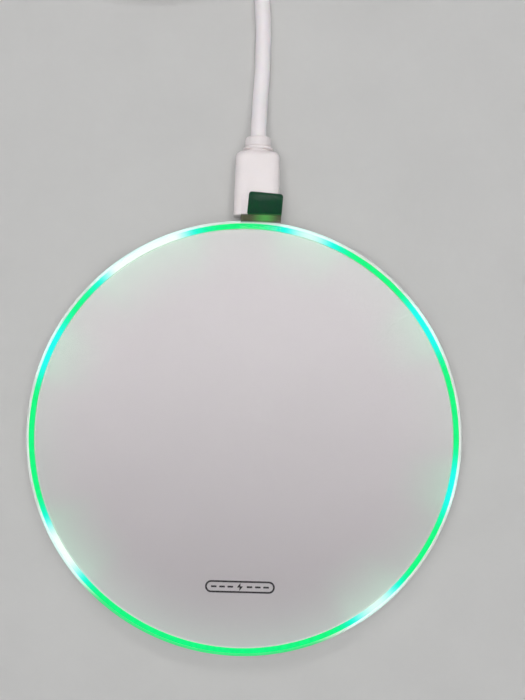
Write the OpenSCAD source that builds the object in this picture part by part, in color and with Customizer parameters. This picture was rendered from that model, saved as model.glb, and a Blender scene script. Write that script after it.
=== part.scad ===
// Round wireless charging pad: a dished shell with a lit ring and a glossy panel, its
// peel-off film with a pull tab, and its plug-in lead, coiled and tied behind it.
// The origin is the centre of the underside, on the desk. +Z is up, +Y is towards the lead.

/* [Pad] */
// Outer diameter of the pad
pad_d = 100; // [97:1:103]
// Wall of the moulded shell
shell_wall = 1.2; // [1:0.1:1.3]
// Width of the shell's bare rim, outside the lit ring
rim_w = 0.65; // [0.5:0.05:0.7]
// Visible width of the lit ring
glow_w = 1.15; // [1:0.05:1.4]
// Thickness of the glossy top panel
panel_t = 1.2; // [1:0.1:1.4]
// Small gap between pieces that drop into each other
fit_gap = 0.05; // [0.03:0.01:0.1]
// Outer radius of the rubber foot ring
foot_r = 42; // [41:0.5:43]
// Radial width of the rubber foot ring
foot_w = 8; // [7:0.5:9]

/* [Lights and mark] */
// Number of edge lights round the ring
led_count = 8; // [4:1:8]
// Angle of the first light, from +X
led_start = 31; // [28:1:34]
// Width of the printed outline
mark_w = 16; // [12:0.5:18]
// Height of the printed outline
mark_h = 2.8; // [2.4:0.1:3.4]
// Width of the printed line
mark_line = 0.42; // [0.3:0.02:0.46]
// Distance of the mark in front of the pad's centre
mark_y = 34; // [28:1:38]

/* [Coil] */
// Outer radius of the transmitter coil
coil_r = 25; // [22:0.5:25]
// Inner radius of the transmitter coil
coil_hole_r = 10; // [8:0.5:11]

/* [Film] */
// Thickness of the protective film
film_t = 0.1; // [0.08:0.01:0.15]
// Width of the film's clear tongue
tongue_w = 9.2; // [8:0.1:10]
// Width of the coloured pull tab
tab_w = 7.9; // [6:0.1:8.5]

/* [Lead] */
// Distance of the socket's middle from the pad's middle line
socket_x = 1.5; // [0:0.5:3]
// Diameter of the cord
cord_d = 3.6; // [3.2:0.1:3.6]
// Width of the small plug's grip
grip_w = 10.6; // [10:0.1:10.8]
// Length of the small plug's grip
grip_l = 15.1; // [14:0.1:15.5]
// Thickness of the small plug's grip
grip_h = 6.8; // [6:0.1:7]

/* [Hidden] */
$fn = 96;
eps = 0.01;
pad_r = pad_d / 2;

// heights of the layers, from the desk up
foot_recess = 0.4;
underside_z = 0.5;
floor_z = underside_z + shell_wall;
board_z = floor_z + 0.6;
board_t = 1;
board_top = board_z + board_t;
tray_z = 4.9;
tray_t = 0.6;
tray_top = tray_z + tray_t;
ferrite_t = 0.6;
ferrite_top = tray_top + ferrite_t;
coil_t = 1.1;
stack_top = ferrite_top + coil_t;
glue_t = 0.1;
panel_z = stack_top + glue_t;
panel_top = panel_z + panel_t;
flange_z = stack_top - 0.6;
rim_z = panel_top - 0.2;
glow_z = panel_top - 0.1;

// dished shell
dish_r = 5.5;
dish_x = pad_r - dish_r;
dish_z = underside_z + dish_r;
lip_r = 0.3;
ledge_z = 6.9;

// lit ring and panel
glow_r = pad_r - rim_w - fit_gap;
panel_r = glow_r - glow_w - fit_gap;
skirt_r = pad_r - 2.3;
skirt_w = 0.8;
skirt_z = 3.6;
film_r = panel_r - 0.3;
panel_bevel = 0.15;
ink_t = 0.1;

// screws that hold the tray and the board down to the shell
screw_r = 38;
screw_angles = [8.5, 98.5, 188.5, 278.5];
screw_d = 1.8;
screw_top = 6;
head_d = 3.6;
head_t = 0.7;
sink_d = 4;
bore_d = 2.2;
post_d = 4.6;

// circuit board
board_r = pad_r - 4;
led_l = 3.4;
led_w = 1.3;
led_h = 1;
part_r = 36;

// coil, its ferrite and its leads
ferrite_r = coil_r + 0.6;
ferrite_hole_r = 1.5;
notch_w = 0.8;
notch_r = coil_hole_r - 1;
recess_r = ferrite_r + 1.6;
lead_d = 0.55;
lead_r = ferrite_r + 0.75;
lead_angles = [300, 312];
tray_r = pad_r - 3.5;

// socket and small plug, measured from the socket's middle
socket_w = 7.65;
socket_h = 2.65;
socket_t = 0.3;
socket_cut = 0.9;
socket_z = board_top + socket_h / 2;
mouth_y = pad_r - 0.8;
socket_l = 5.5;
socket_back = mouth_y - socket_l;
port_w = 8.5;
port_h = 3.3;
plug_w = 6.85;
plug_h = 1.8;
plug_t = 0.25;
plug_cut = 0.65;
plug_l = 6.7;
grip_y = pad_r + 1.3;
plug_tip = grip_y - plug_l;
plug_end = grip_y + 2;
contact_pitch = 0.65;
contact_w = 0.25;
micro_contacts = [-2:2];
tongue_top = 0.57;
tongue_low = 0.12;
insulator_top = -0.1;
insulator_stop = grip_y - 2.6;
latch_x = 1.9;
relief_l = 3.5;
relief_y = grip_y + grip_l;
cord_y = relief_y + relief_l;

// film's tongue and pull tab
tab_x = 3.5;
tongue_x = 2.6;
tab_y = pad_r + 0.9;
tab_end = pad_r + 6.5;
tongue_end = tab_end - 0.4;
tab_t = 0.12;
tab_corner = 0.7;
tab_turn = -4;

// lead: the route of the cord, and the coil of its spare length
cord_r = cord_d / 2;
coil_at = [-23.6, 132];
turn_out = 24.6;
turn_in = 15.6;
tie_t = 0.5;
tie_w = 6;
supply_at = [32.8, 156, 3.8];
cord_route = [
    [socket_x, cord_y, socket_z], [1.5, 72, 4.6], [1.6, 75, 4.2], [1.7, 79, 3.3],
    [1.9, 83, 2.4], [2, 87, 1.9], [2, 91, 1.8], [2, 95, 1.8], [1.8, 99, 1.8],
    [1.5, 103, 1.8], [1.2, 107, 1.8], [1.1, 111, 1.8], [1, 115, 1.8], [1, 119, 1.8],
    [1, 124, 1.8]
];
tail_route = [
    [2.8, 134, 5.4], [2.8, 138, 5.2], [2.8, 142, 4.6], [2.8, 146, 3.7], [2.8, 150, 2.8],
    [2.8, 154, 2.1], [2.8, 158, 1.8], [3.1, 162, 1.8], [4.5, 167, 1.8], [7.2, 170.6, 1.8],
    [12.1, 173.9, 1.8], [17.8, 175, 1.8], [23.5, 173.9, 1.8], [28.4, 170.6, 2],
    [31.1, 167, 2.6], [32.5, 162, 3.5], [32.8, 159, 3.8], supply_at
];

// supply plug, measured from the end of its strain relief, with its tip towards -Y
supply_relief_l = 7;
supply_grip_l = 21.5;
supply_shell_l = 18.75;
supply_grip_w = 16;
supply_grip_h = 7.6;
supply_w = 12;
supply_h = 4.5;
supply_t = 0.3;
supply_grip_y = supply_at.y - supply_relief_l;
supply_shell_y = supply_grip_y - supply_grip_l;
supply_tip = supply_shell_y - supply_shell_l;
supply_tuck = 3;
supply_tongue_t = 1.9;
supply_pitch = [-3.5, -1, 1, 3.5];

// ---- shared shapes ----

// quarter disc below the X axis and right of the Z axis
module quarter(r) {
    intersection() {
        circle(r);
        translate([0, -r]) square(r);
    }
}

// upright rectangle with round corners, centred
module rounded(w, h, r) {
    square([w - 2 * r, h], center = true);
    square([w, h - 2 * r], center = true);
    for (x = [-1, 1], y = [-1, 1])
        translate([x * (w / 2 - r), y * (h / 2 - r)]) circle(r);
}

// flat outline with semicircular ends, centred
module pill(w, h) {
    square([w - h, h], center = true);
    for (x = [-1, 1]) translate([x * (w - h) / 2, 0]) circle(h / 2);
}

// mouth of the small socket and plug: a rectangle with its two lower corners cut
module mouth(w, h, cut) {
    polygon([
        [-w / 2, h / 2], [w / 2, h / 2], [w / 2, cut - h / 2], [w / 2 - cut, -h / 2],
        [cut - w / 2, -h / 2], [-w / 2, cut - h / 2]
    ]);
}

// extrudes an X-Z outline from y0 to y1
module along_y(y0, y1) {
    translate([0, y1, 0]) rotate([90, 0, 0]) linear_extrude(y1 - y0) children();
}

// extrudes a plan outline from z0 to z1
module layer(z0, z1) {
    translate([0, 0, z0]) linear_extrude(z1 - z0) children();
}

// ring with square edges
module ring(r_out, r_in, z0, z1) {
    layer(z0, z1) difference() {
        circle(r_out);
        circle(r_in);
    }
}

// puts its children at a radius and an angle, turned to face outwards
module around(r, angle) {
    rotate(angle) translate([r, 0, 0]) children();
}

// block standing on the circuit board
module on_board(l, w, h) {
    translate([0, 0, board_top + h / 2]) cube([w, l, h], center = true);
}

// moves its children to the middle of the socket
module at_socket() {
    translate([socket_x, 0, socket_z]) children();
}

// moves its children to the axis of the supply plug
module at_supply() {
    translate([supply_at.x, 0, supply_at.z]) children();
}

// ---- pad ----

module shell_outline() {
    translate([0, underside_z]) square([dish_x, dish_z - underside_z]);
    translate([dish_x, dish_z]) quarter(dish_r);
    translate([0, dish_z]) square([pad_r, rim_z - lip_r - dish_z]);
    translate([0, dish_z]) square([pad_r - lip_r, rim_z - dish_z]);
    translate([pad_r - lip_r, rim_z - lip_r]) circle(lip_r);
}

module shell_hollow() {
    translate([0, floor_z]) square([dish_x, rim_z]);
    translate([dish_x, dish_z]) quarter(dish_r - shell_wall);
    translate([0, dish_z - eps]) square([pad_r - shell_wall, rim_z]);
    translate([0, ledge_z]) square([pad_r - rim_w, rim_z]);
}

module base_shell() {
    color("whitesmoke") difference() {
        union() {
            rotate_extrude() difference() {
                shell_outline();
                shell_hollow();
            }
            for (a = screw_angles) around(screw_r, a)
                translate([0, 0, floor_z - eps]) cylinder(d = post_d, h = board_z - floor_z + eps);
        }
        ring(foot_r + fit_gap, foot_r - foot_w - fit_gap, 0, underside_z + foot_recess);
        for (a = screw_angles) around(screw_r, a) {
            cylinder(d = bore_d, h = board_top);
            cylinder(d = sink_d, h = floor_z);
        }
        at_socket() along_y(dish_x, pad_r + 1) pill(port_w, port_h);
    }
}

module foot_ring() {
    color("dimgray") ring(foot_r, foot_r - foot_w, 0, underside_z + foot_recess);
}

module rating_label() {
    label_r = 22;
    color("silver") translate([0, 0, underside_z - glue_t]) cylinder(r = label_r, h = glue_t);
}

module case_screws() {
    socket_d = 1;
    color("silver") for (a = screw_angles) around(screw_r, a) difference() {
        union() {
            translate([0, 0, floor_z - head_t]) cylinder(d = head_d, h = head_t);
            translate([0, 0, floor_z - eps]) cylinder(d = screw_d, h = screw_top - floor_z);
        }
        translate([0, 0, floor_z - head_t - eps]) cylinder(d = socket_d, h = head_t / 2, $fn = 6);
    }
}

module circuit_board() {
    hole_d = 2.4;
    color("darkgreen") difference() {
        translate([0, 0, board_z]) cylinder(r = board_r, h = board_t);
        for (a = screw_angles) around(screw_r, a)
            translate([0, 0, board_z - eps]) cylinder(d = hole_d, h = board_t + 2 * eps);
    }
}

module socket_shell() {
    foot = [0.8, 3, 0.25];
    color("silver") at_socket() {
        along_y(socket_back, mouth_y) difference() {
            mouth(socket_w, socket_h, socket_cut);
            mouth(socket_w - 2 * socket_t, socket_h - 2 * socket_t, socket_cut - socket_t / 2);
        }
        for (x = [-1, 1])
            translate([x * (socket_w + foot.x) / 2, socket_back + foot.y / 2, 0])
                translate([0, 0, (foot.z - socket_h) / 2])
                    cube([foot.x + 2 * socket_cut, foot.y, foot.z], center = true);
    }
}

module socket_tongue() {
    tongue_l = 3.75;
    tongue_width = 3.7;
    back_l = 0.4;
    root = socket_back + back_l;
    color("black") at_socket() {
        along_y(socket_back, root)
            mouth(socket_w - 2 * socket_t, socket_h - 2 * socket_t, socket_cut - socket_t / 2);
        translate([-tongue_width / 2, root - eps, tongue_low])
            cube([tongue_width, tongue_l, tongue_top - tongue_low]);
    }
}

module socket_contacts() {
    strip_t = 0.05;
    strip_y = 0.45;
    strip_l = 3.4;
    tail_l = 0.8;
    tail_t = 0.15;
    color("gold") at_socket() for (i = micro_contacts)
        translate([i * contact_pitch - contact_w / 2, 0, 0]) {
            translate([0, socket_back + strip_y, tongue_low - strip_t])
                cube([contact_w, strip_l, strip_t]);
            translate([0, socket_back - tail_l, -socket_h / 2]) cube([contact_w, tail_l, tail_t]);
        }
}

module edge_leds() {
    led_inset = 0.1;
    color("mintcream") for (i = [0:led_count - 1])
        around(board_r - led_w / 2 - led_inset, led_start + i * 360 / led_count)
            on_board(led_l, led_w, led_h);
}

module controller_chip() {
    angle = 50;
    side = 5;
    height = 0.9;
    dot = [1.7, 1.7, board_top + height - 0.1];
    dot_d = 0.6;
    color("dimgray") around(part_r, angle) difference() {
        on_board(side, side, height);
        translate(dot) cylinder(d = dot_d, h = height);
    }
}

module bridge_transistors() {
    angles = [150, 168];
    case = [6, 5, 1.1];
    color("dimgray") for (a = angles) around(part_r, a) on_board(case.x, case.y, case.z);
}

module resonant_capacitors() {
    angles = [208, 218, 228, 238];
    case = [3.2, 4.5, 2.5];
    color("tan") for (a = angles) around(part_r, a) on_board(case.x, case.y, case.z);
}

module filter_capacitors() {
    angles = [66, 73, 80];
    case = [1.6, 3.2, 1.6];
    color("tan") for (a = angles) around(part_r, a) on_board(case.x, case.y, case.z);
}

module power_inductor() {
    angle = 118;
    case = [6, 6, 2.2];
    cap = [5, 0.6];
    color("dimgray") around(part_r, angle) {
        on_board(case.x, case.y, case.z);
        translate([0, 0, board_top + case.z - eps]) cylinder(d = cap.x, h = cap.y);
    }
}

module clock_crystal() {
    angle = 34;
    case = [3.2, 2.5, 0.8];
    color("silver") around(part_r, angle) on_board(case.x, case.y, case.z);
}

module chip_resistors() {
    angles = [254, 262, each [292:8:340]];
    case = [0.8, 1.6, 0.5];
    color("black") for (a = angles) around(part_r, a) on_board(case.x, case.y, case.z);
}

module thermistor() {
    bead_d = 2.4;
    bead_h = 0.9;
    bead_z = ferrite_top + 0.1;
    wire_d = 0.4;
    wire_x = 0.6;
    color("darkred") {
        translate([0, 0, bead_z]) cylinder(d = bead_d, h = bead_h);
        for (x = [-wire_x, wire_x])
            translate([x, 0, board_top]) cylinder(d = wire_d, h = bead_z + 0.1 - board_top);
    }
}

module ferrite_disc() {
    color("darkslategray") difference() {
        ring(ferrite_r, ferrite_hole_r, tray_top, ferrite_top);
        rotate(lead_angles[1]) translate([notch_r, -notch_w / 2, tray_top - eps])
            cube([ferrite_r, notch_w, ferrite_t + 2 * eps]);
    }
}

module transmitter_coil() {
    color("chocolate") ring(coil_r, coil_hole_r, ferrite_top, stack_top);
}

// one lead: out along the radius at height z, then down to the board
module coil_lead(angle, r_from, z) {
    rotate(angle) {
        translate([r_from, 0, z]) rotate([0, 90, 0]) cylinder(d = lead_d, h = lead_r - r_from);
        translate([lead_r, 0, z]) sphere(d = lead_d);
        translate([lead_r, 0, board_top]) cylinder(d = lead_d, h = z - board_top);
    }
}

module coil_leads() {
    color("peru") {
        coil_lead(lead_angles[0], coil_r, ferrite_top + coil_t / 2);
        coil_lead(lead_angles[1], coil_hole_r + lead_d, tray_top + ferrite_t / 2);
    }
}

module coil_tray() {
    wall = 1.3;
    hole_d = 1.2;
    pilot_d = screw_d + 0.04;
    pilot_l = screw_top - board_top + 0.1;
    color("white") difference() {
        union() {
            ring(recess_r + wall, ferrite_hole_r, tray_z, tray_top);
            ring(recess_r + wall, recess_r, tray_z, stack_top);
            ring(tray_r, recess_r, flange_z, stack_top);
            for (a = screw_angles) around(screw_r, a)
                translate([0, 0, board_top]) cylinder(d = post_d, h = flange_z - board_top + eps);
        }
        for (a = screw_angles) around(screw_r, a)
            translate([0, 0, board_top - eps]) cylinder(d = pilot_d, h = pilot_l);
        for (a = lead_angles) around(lead_r, a)
            translate([0, 0, tray_z - eps]) cylinder(d = hole_d, h = tray_t + 2 * eps);
    }
}

module panel_adhesive() {
    edge_gap = 0.3;
    color("lightgray") translate([0, 0, stack_top]) cylinder(r = tray_r - edge_gap, h = glue_t);
}

module light_guide() {
    skirt_in = skirt_r - skirt_w;
    slope = [0.9, 0.5];
    edge = 0.1;
    notch_top = socket_z + socket_h / 2 + 0.3;
    color("palegreen") difference() {
        rotate_extrude() polygon([
            [skirt_in, skirt_z], [skirt_r, skirt_z], [skirt_r, ledge_z - slope.y],
            [skirt_r + slope.x, ledge_z], [glow_r, ledge_z], [glow_r, glow_z - edge],
            [glow_r - edge, glow_z], [panel_r + fit_gap, glow_z], [panel_r + fit_gap, panel_z],
            [skirt_in, panel_z]
        ]);
        translate([socket_x - port_w / 2, 0, 0]) cube([port_w, pad_r, notch_top]);
    }
}

// bolt of half height h, the middle of the mark
module bolt_outline(h) {
    polygon([
        [0.15 * h, h], [-0.75 * h, -0.15 * h], [-0.1 * h, -0.15 * h], [-0.15 * h, -h],
        [0.75 * h, 0.15 * h], [0.1 * h, 0.15 * h]
    ]);
}

// the printed mark: a pill-shaped outline with a bolt in the middle and plain dashes beside it
module mark_outline() {
    bolt_h = 0.34 * mark_h;
    dash = [1.3, 0.42];
    dashes = 3;
    first_dash = 2.2;
    dash_pitch = 1.9;
    translate([0, -mark_y]) {
        difference() {
            pill(mark_w, mark_h);
            pill(mark_w - 2 * mark_line, mark_h - 2 * mark_line);
        }
        bolt_outline(bolt_h);
        for (side = [-1, 1], i = [0:dashes - 1])
            translate([side * (first_dash + dash_pitch * i), 0]) square(dash, center = true);
    }
}

module top_panel() {
    color("gainsboro") difference() {
        rotate_extrude() polygon([
            [0, panel_z], [panel_r, panel_z], [panel_r, panel_top - panel_bevel],
            [panel_r - panel_bevel, panel_top], [0, panel_top]
        ]);
        layer(panel_top - ink_t, panel_top + ink_t) mark_outline();
    }
}

module printed_mark() {
    color("dimgray") layer(panel_top - ink_t, panel_top) mark_outline();
}

// ---- film ----

module protective_film() {
    color("lightblue", 0.3) layer(panel_top, panel_top + film_t) {
        circle(film_r);
        translate([tongue_x - tongue_w / 2, 0]) square([tongue_w, tongue_end]);
    }
}

module pull_tab() {
    color("seagreen") translate([tab_x, (tab_y + tab_end) / 2]) rotate(tab_turn)
        layer(panel_top - tab_t, panel_top) rounded(tab_w, tab_end - tab_y, tab_corner);
}

// ---- lead ----

module plug_grip() {
    corner = 1.6;
    section_corner = 1.9;
    color("white") difference() {
        intersection() {
            at_socket() along_y(grip_y, relief_y) rounded(grip_w, grip_h, section_corner);
            translate([socket_x, grip_y, 0]) layer(0, 2 * socket_z) {
                translate([-grip_w / 2, 0]) square([grip_w, grip_l - corner]);
                translate([corner - grip_w / 2, 0]) square([grip_w - 2 * corner, grip_l]);
                for (x = [-1, 1])
                    translate([x * (grip_w / 2 - corner), grip_l - corner]) circle(corner);
            }
        }
        at_socket() along_y(grip_y - 1, plug_end) mouth(plug_w, plug_h, plug_cut);
    }
}

module plug_shell() {
    slot_w = 0.7;
    slot_y = plug_tip + 0.9;
    color("silver") at_socket() difference() {
        along_y(plug_tip, plug_end) difference() {
            mouth(plug_w, plug_h, plug_cut);
            mouth(plug_w - 2 * plug_t, plug_h - 2 * plug_t, plug_cut - plug_t / 2);
        }
        for (x = [-latch_x, latch_x])
            translate([x - slot_w / 2, slot_y, -plug_h / 2 - 1])
                cube([slot_w, insulator_stop - slot_y, 1 + plug_t + eps]);
    }
}

module plug_insulator() {
    set_back = 0.2;
    color("black") at_socket() {
        along_y(plug_tip + set_back, insulator_stop + eps) intersection() {
            mouth(plug_w - 2 * plug_t, plug_h - 2 * plug_t, plug_cut - plug_t / 2);
            translate([-plug_w / 2, -plug_h]) square([plug_w, plug_h + insulator_top]);
        }
        along_y(insulator_stop, plug_end)
            mouth(plug_w - 2 * plug_t, plug_h - 2 * plug_t, plug_cut - plug_t / 2);
    }
}

module plug_contacts() {
    strip_t = 0.08;
    start = plug_tip + 0.5;
    color("gold") at_socket() for (i = micro_contacts)
        translate([i * contact_pitch - contact_w / 2, start, insulator_top])
            cube([contact_w, insulator_stop - start, strip_t]);
}

module plug_latches() {
    leaf_w = 0.5;
    leaf_y = plug_tip + 1;
    hook = [leaf_w, 0.5, 0.1];
    leaf_z = 0.02 - plug_h / 2;
    color("silver") at_socket() for (x = [-latch_x, latch_x]) translate([x - leaf_w / 2, leaf_y, 0]) {
        translate([0, 0, leaf_z]) cube([leaf_w, insulator_stop - leaf_y, plug_t - 0.04]);
        translate([0, 0.1, leaf_z - hook.z + eps]) cube(hook);
    }
}

module strain_relief() {
    neck_r = 2.9;
    flange_r = 3.5;
    flange_end = 1;
    body_r = 3.08;
    end_r = 2.8;
    tip = 0.6;
    color("white") at_socket() translate([0, relief_y, 0]) rotate([-90, 0, 0]) rotate_extrude() {
        polygon([
            [0, 0], [neck_r, 0], [neck_r, 0.3], [flange_r, 0.3], [flange_r, flange_end],
            [body_r, flange_end], [end_r, relief_l - tip], [0, relief_l - tip]
        ]);
        translate([0, relief_l - tip - eps]) square([end_r - tip, tip + eps]);
        translate([end_r - tip, relief_l - tip]) circle(tip);
    }
}

// Direction of the route at point i, from its neighbours
function heading(route, i) =
    let (d = route[min(i + 1, len(route) - 1)] - route[max(i - 1, 0)]) d / norm(d);

// Ring of points round the route at point i, square to its heading
function cord_ring(route, i, sides) =
    let (
        ahead = heading(route, i),
        side = cross(ahead, [0, 0, 1]) / norm(cross(ahead, [0, 0, 1])),
        up = cross(side, ahead)
    )
    [for (k = [0:sides - 1])
        let (a = 360 * (k + 0.5) / sides)
        route[i] + cord_r * (cos(a) * side + sin(a) * up)];

// One closed tube swept along a route
module cord_tube(route) {
    sides = 8;
    last = len(route) - 1;
    points = [for (i = [0:last]) each cord_ring(route, i, sides)];
    walls = [for (i = [0:last - 1], k = [0:sides - 1])
        let (n = (k + 1) % sides)
        [i * sides + k, i * sides + n, (i + 1) * sides + n, (i + 1) * sides + k]];
    start_cap = [for (k = [sides - 1:-1:0]) k];
    end_cap = [for (k = [0:sides - 1]) last * sides + k];
    polyhedron(points, concat([start_cap, end_cap], walls));
}

module cord() {
    color("whitesmoke") cord_tube(cord_route);
}

module cord_tail() {
    color("whitesmoke") cord_tube(tail_route);
}

module cord_coil() {
    height = 2 * cord_d;
    channel = tie_w + 2;
    color("whitesmoke") difference() {
        translate(coil_at) ring(turn_out + cord_r, turn_in - cord_r, 0, height);
        translate([coil_at.x - channel / 2, coil_at.y, -eps])
            cube([channel, turn_out + cord_d, tie_t + 0.1 + eps]);
    }
}

module cable_tie() {
    reach_in = turn_in - cord_r - 0.6;
    reach_out = turn_out + cord_r + 0.2;
    hollow_w = reach_out - reach_in;
    hollow_h = 2 * cord_d + 0.6;
    hollow_corner = 0.2;
    outer_corner = 1.2;
    middle = coil_at.y + (reach_in + reach_out) / 2;
    color("gray") translate([coil_at.x, middle, tie_t + hollow_h / 2]) rotate(90)
        along_y(-tie_w / 2, tie_w / 2) difference() {
            rounded(hollow_w + 2 * tie_t, hollow_h + 2 * tie_t, outer_corner);
            rounded(hollow_w, hollow_h, hollow_corner);
        }
}

module supply_relief() {
    base_r = 3.4;
    base_l = 1.2;
    end_r = 2.5;
    color("white") at_supply() translate([0, supply_grip_y, 0]) rotate([-90, 0, 0])
        rotate_extrude() polygon([
            [0, 0], [base_r, 0], [base_r, base_l], [end_r, supply_relief_l],
            [0, supply_relief_l]
        ]);
}

module supply_grip() {
    corner = 2;
    color("white") difference() {
        at_supply() along_y(supply_shell_y, supply_grip_y)
            rounded(supply_grip_w, supply_grip_h, corner);
        at_supply() along_y(supply_shell_y - 1, supply_shell_y + supply_tuck)
            square([supply_w, supply_h], center = true);
    }
}

module supply_shell() {
    window = [2.2, 2.5, 2 * supply_h];
    window_at = [2.85, supply_tip + 6.4];
    color("silver") at_supply() difference() {
        along_y(supply_tip, supply_shell_y + supply_tuck) difference() {
            square([supply_w, supply_h], center = true);
            square([supply_w - 2 * supply_t, supply_h - 2 * supply_t], center = true);
        }
        for (x = [-1, 1]) translate([x * window_at.x, window_at.y, 0])
            cube(window, center = true);
    }
}

module supply_tongue() {
    inner_w = supply_w - 2 * supply_t;
    inner_h = supply_h - 2 * supply_t;
    set_back = 0.6;
    block_l = 6;
    color("white") at_supply() {
        translate([-inner_w / 2, supply_tip + set_back, -inner_h / 2])
            cube([inner_w, supply_shell_l - set_back, supply_tongue_t]);
        along_y(supply_shell_y - block_l, supply_shell_y + supply_tuck)
            square([inner_w, inner_h], center = true);
    }
}

module supply_contacts() {
    strip = [1, 9, 0.15];
    set_back = 1.6;
    color("gold") at_supply() for (x = supply_pitch)
        translate([x - strip.x / 2, supply_tip + set_back,
                   supply_t - supply_h / 2 + supply_tongue_t])
            cube(strip);
}

base_shell();
foot_ring();
rating_label();
case_screws();
circuit_board();
socket_shell();
socket_tongue();
socket_contacts();
edge_leds();
controller_chip();
bridge_transistors();
resonant_capacitors();
filter_capacitors();
power_inductor();
clock_crystal();
chip_resistors();
thermistor();
ferrite_disc();
transmitter_coil();
coil_leads();
coil_tray();
panel_adhesive();
light_guide();
top_panel();
printed_mark();
protective_film();
pull_tab();
plug_grip();
plug_shell();
plug_insulator();
plug_contacts();
plug_latches();
strain_relief();
cord();
cord_coil();
cord_tail();
cable_tie();
supply_relief();
supply_grip();
supply_shell();
supply_tongue();
supply_contacts();
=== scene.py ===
import logging
import math
from dataclasses import dataclass, field
from enum import Enum

import bpy
import numpy as np
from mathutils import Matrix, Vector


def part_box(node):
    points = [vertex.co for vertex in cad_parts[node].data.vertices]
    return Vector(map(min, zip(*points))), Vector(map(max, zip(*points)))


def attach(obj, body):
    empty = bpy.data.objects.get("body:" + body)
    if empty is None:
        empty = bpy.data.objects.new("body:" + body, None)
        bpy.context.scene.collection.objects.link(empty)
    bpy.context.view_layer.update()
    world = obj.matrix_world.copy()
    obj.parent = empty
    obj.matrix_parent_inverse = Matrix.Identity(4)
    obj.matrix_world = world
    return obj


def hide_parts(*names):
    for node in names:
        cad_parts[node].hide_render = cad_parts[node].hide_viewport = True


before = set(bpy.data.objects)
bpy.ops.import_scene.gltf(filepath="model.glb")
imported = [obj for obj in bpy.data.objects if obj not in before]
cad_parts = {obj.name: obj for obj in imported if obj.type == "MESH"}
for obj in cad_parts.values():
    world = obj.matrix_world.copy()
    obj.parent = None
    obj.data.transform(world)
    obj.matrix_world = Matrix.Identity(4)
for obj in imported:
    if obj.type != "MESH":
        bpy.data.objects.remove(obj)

# Looks of a round wireless charging pad with a lit ring, its peel-off film and its lead.
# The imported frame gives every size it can; the rest are fields of the classes below, in
# metres. +Z is up, +Y runs from the pad's centre towards the lead's socket.

LOG = logging.getLogger("charging_pad")
MM = 0.001
TURN = 2 * math.pi
CREASE = 38.0  # degrees; an edge that turns by more stays sharp
SAME_POINT = 1e-7  # points nearer than this are one point
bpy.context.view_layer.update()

Colour = tuple[float, float, float]


class Body(Enum):
    """The three rigid bodies that the pieces ride on."""

    PAD = "pad"
    FILM = "film"
    LEAD = "lead"


# ---------------------------------------------------------------- curves and meshes


def smooth(x: np.ndarray) -> np.ndarray:
    """Ease from 0 to 1: 3x^2 - 2x^3, with x held between 0 and 1.

    Args:
        x: Where along the ease, any shape.

    Returns:
        The eased values.
    """
    x = np.clip(x, 0.0, 1.0)
    return x * x * (3 - 2 * x)


def arc(centre: tuple[float, float], radius: float, start: float, end: float,
        count: int) -> np.ndarray:
    """Points of a circular arc: centre + radius (cos a, sin a), a running from start to end.

    Args:
        centre: Middle of the circle.
        radius: Its radius.
        start: First angle in degrees.
        end: Last angle in degrees.
        count: How many points.

    Returns:
        The points, count by 2.
    """
    a = np.radians(np.linspace(start, end, count))
    return np.stack([centre[0] + radius * np.cos(a), centre[1] + radius * np.sin(a)], axis=1)


def rounded(corners: list[tuple[float, float]], radii: float | list[float],
            steps: int = 5, closed: bool = True) -> np.ndarray:
    """Rounds a polygon's corners, each with the parabola whose control point is the corner.

    The parabola is (1-s)^2 a + 2s(1-s) c + s^2 b, where c is the corner and a and b lie on its
    two sides at the corner's radius, or at 0.4 of the side where that is shorter. A further
    point just outside a and b keeps the shading of the flats beside the corner flat.

    Args:
        corners: The polygon's corners in order.
        radii: One radius for all corners, or one for each.
        steps: Points on each round corner.
        closed: False keeps the first and last corner sharp, for an open line.

    Returns:
        The rounded outline, an array of points by 2.
    """
    c = np.array(corners, float)
    before, after = np.roll(c, 1, axis=0) - c, np.roll(c, -1, axis=0) - c
    long_before = np.linalg.norm(before, axis=1, keepdims=True)
    long_after = np.linalg.norm(after, axis=1, keepdims=True)
    r = np.broadcast_to(np.array(radii, float), len(c))[:, None]
    r = np.minimum(r, 0.4 * np.minimum(long_before, long_after))
    if not closed:
        r = r * np.array([0.0] + [1.0] * (len(c) - 2) + [0.0])[:, None]
    a, b = c + before / long_before * r, c + after / long_after * r
    s = np.linspace(0, 1, steps)[None, :, None]
    curve = (1 - s) ** 2 * a[:, None] + 2 * s * (1 - s) * c[:, None] + s**2 * b[:, None]
    outside_a, outside_b = a + 0.2 * (a - c), b + 0.2 * (b - c)
    points = np.concatenate([outside_a[:, None], curve, outside_b[:, None]], axis=1)
    points = points.reshape(-1, 2)
    keep = np.linalg.norm(points - np.roll(points, 1, axis=0), axis=1) > SAME_POINT
    keep[0] = True
    return points[keep]


def box_outline(width: float, height: float, radius: float, steps: int = 8) -> np.ndarray:
    """A rectangle with a circular arc at each corner, centred on the origin.

    Args:
        width: Its size along the first axis.
        height: Its size along the second axis.
        radius: The corners' radius, up to half the shorter side.
        steps: Points on each corner.

    Returns:
        The outline's points, counter-clockwise.
    """
    w, h = width / 2 - radius, height / 2 - radius
    quarters = [arc((x * w, y * h), radius, start, start + 90, steps)
                for x, y, start in ((1, 1, 0), (-1, 1, 90), (-1, -1, 180), (1, -1, 270))]
    points = np.vstack(quarters)
    apart = np.linalg.norm(points - np.roll(points, 1, axis=0), axis=1)
    return points[apart > SAME_POINT]


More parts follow.
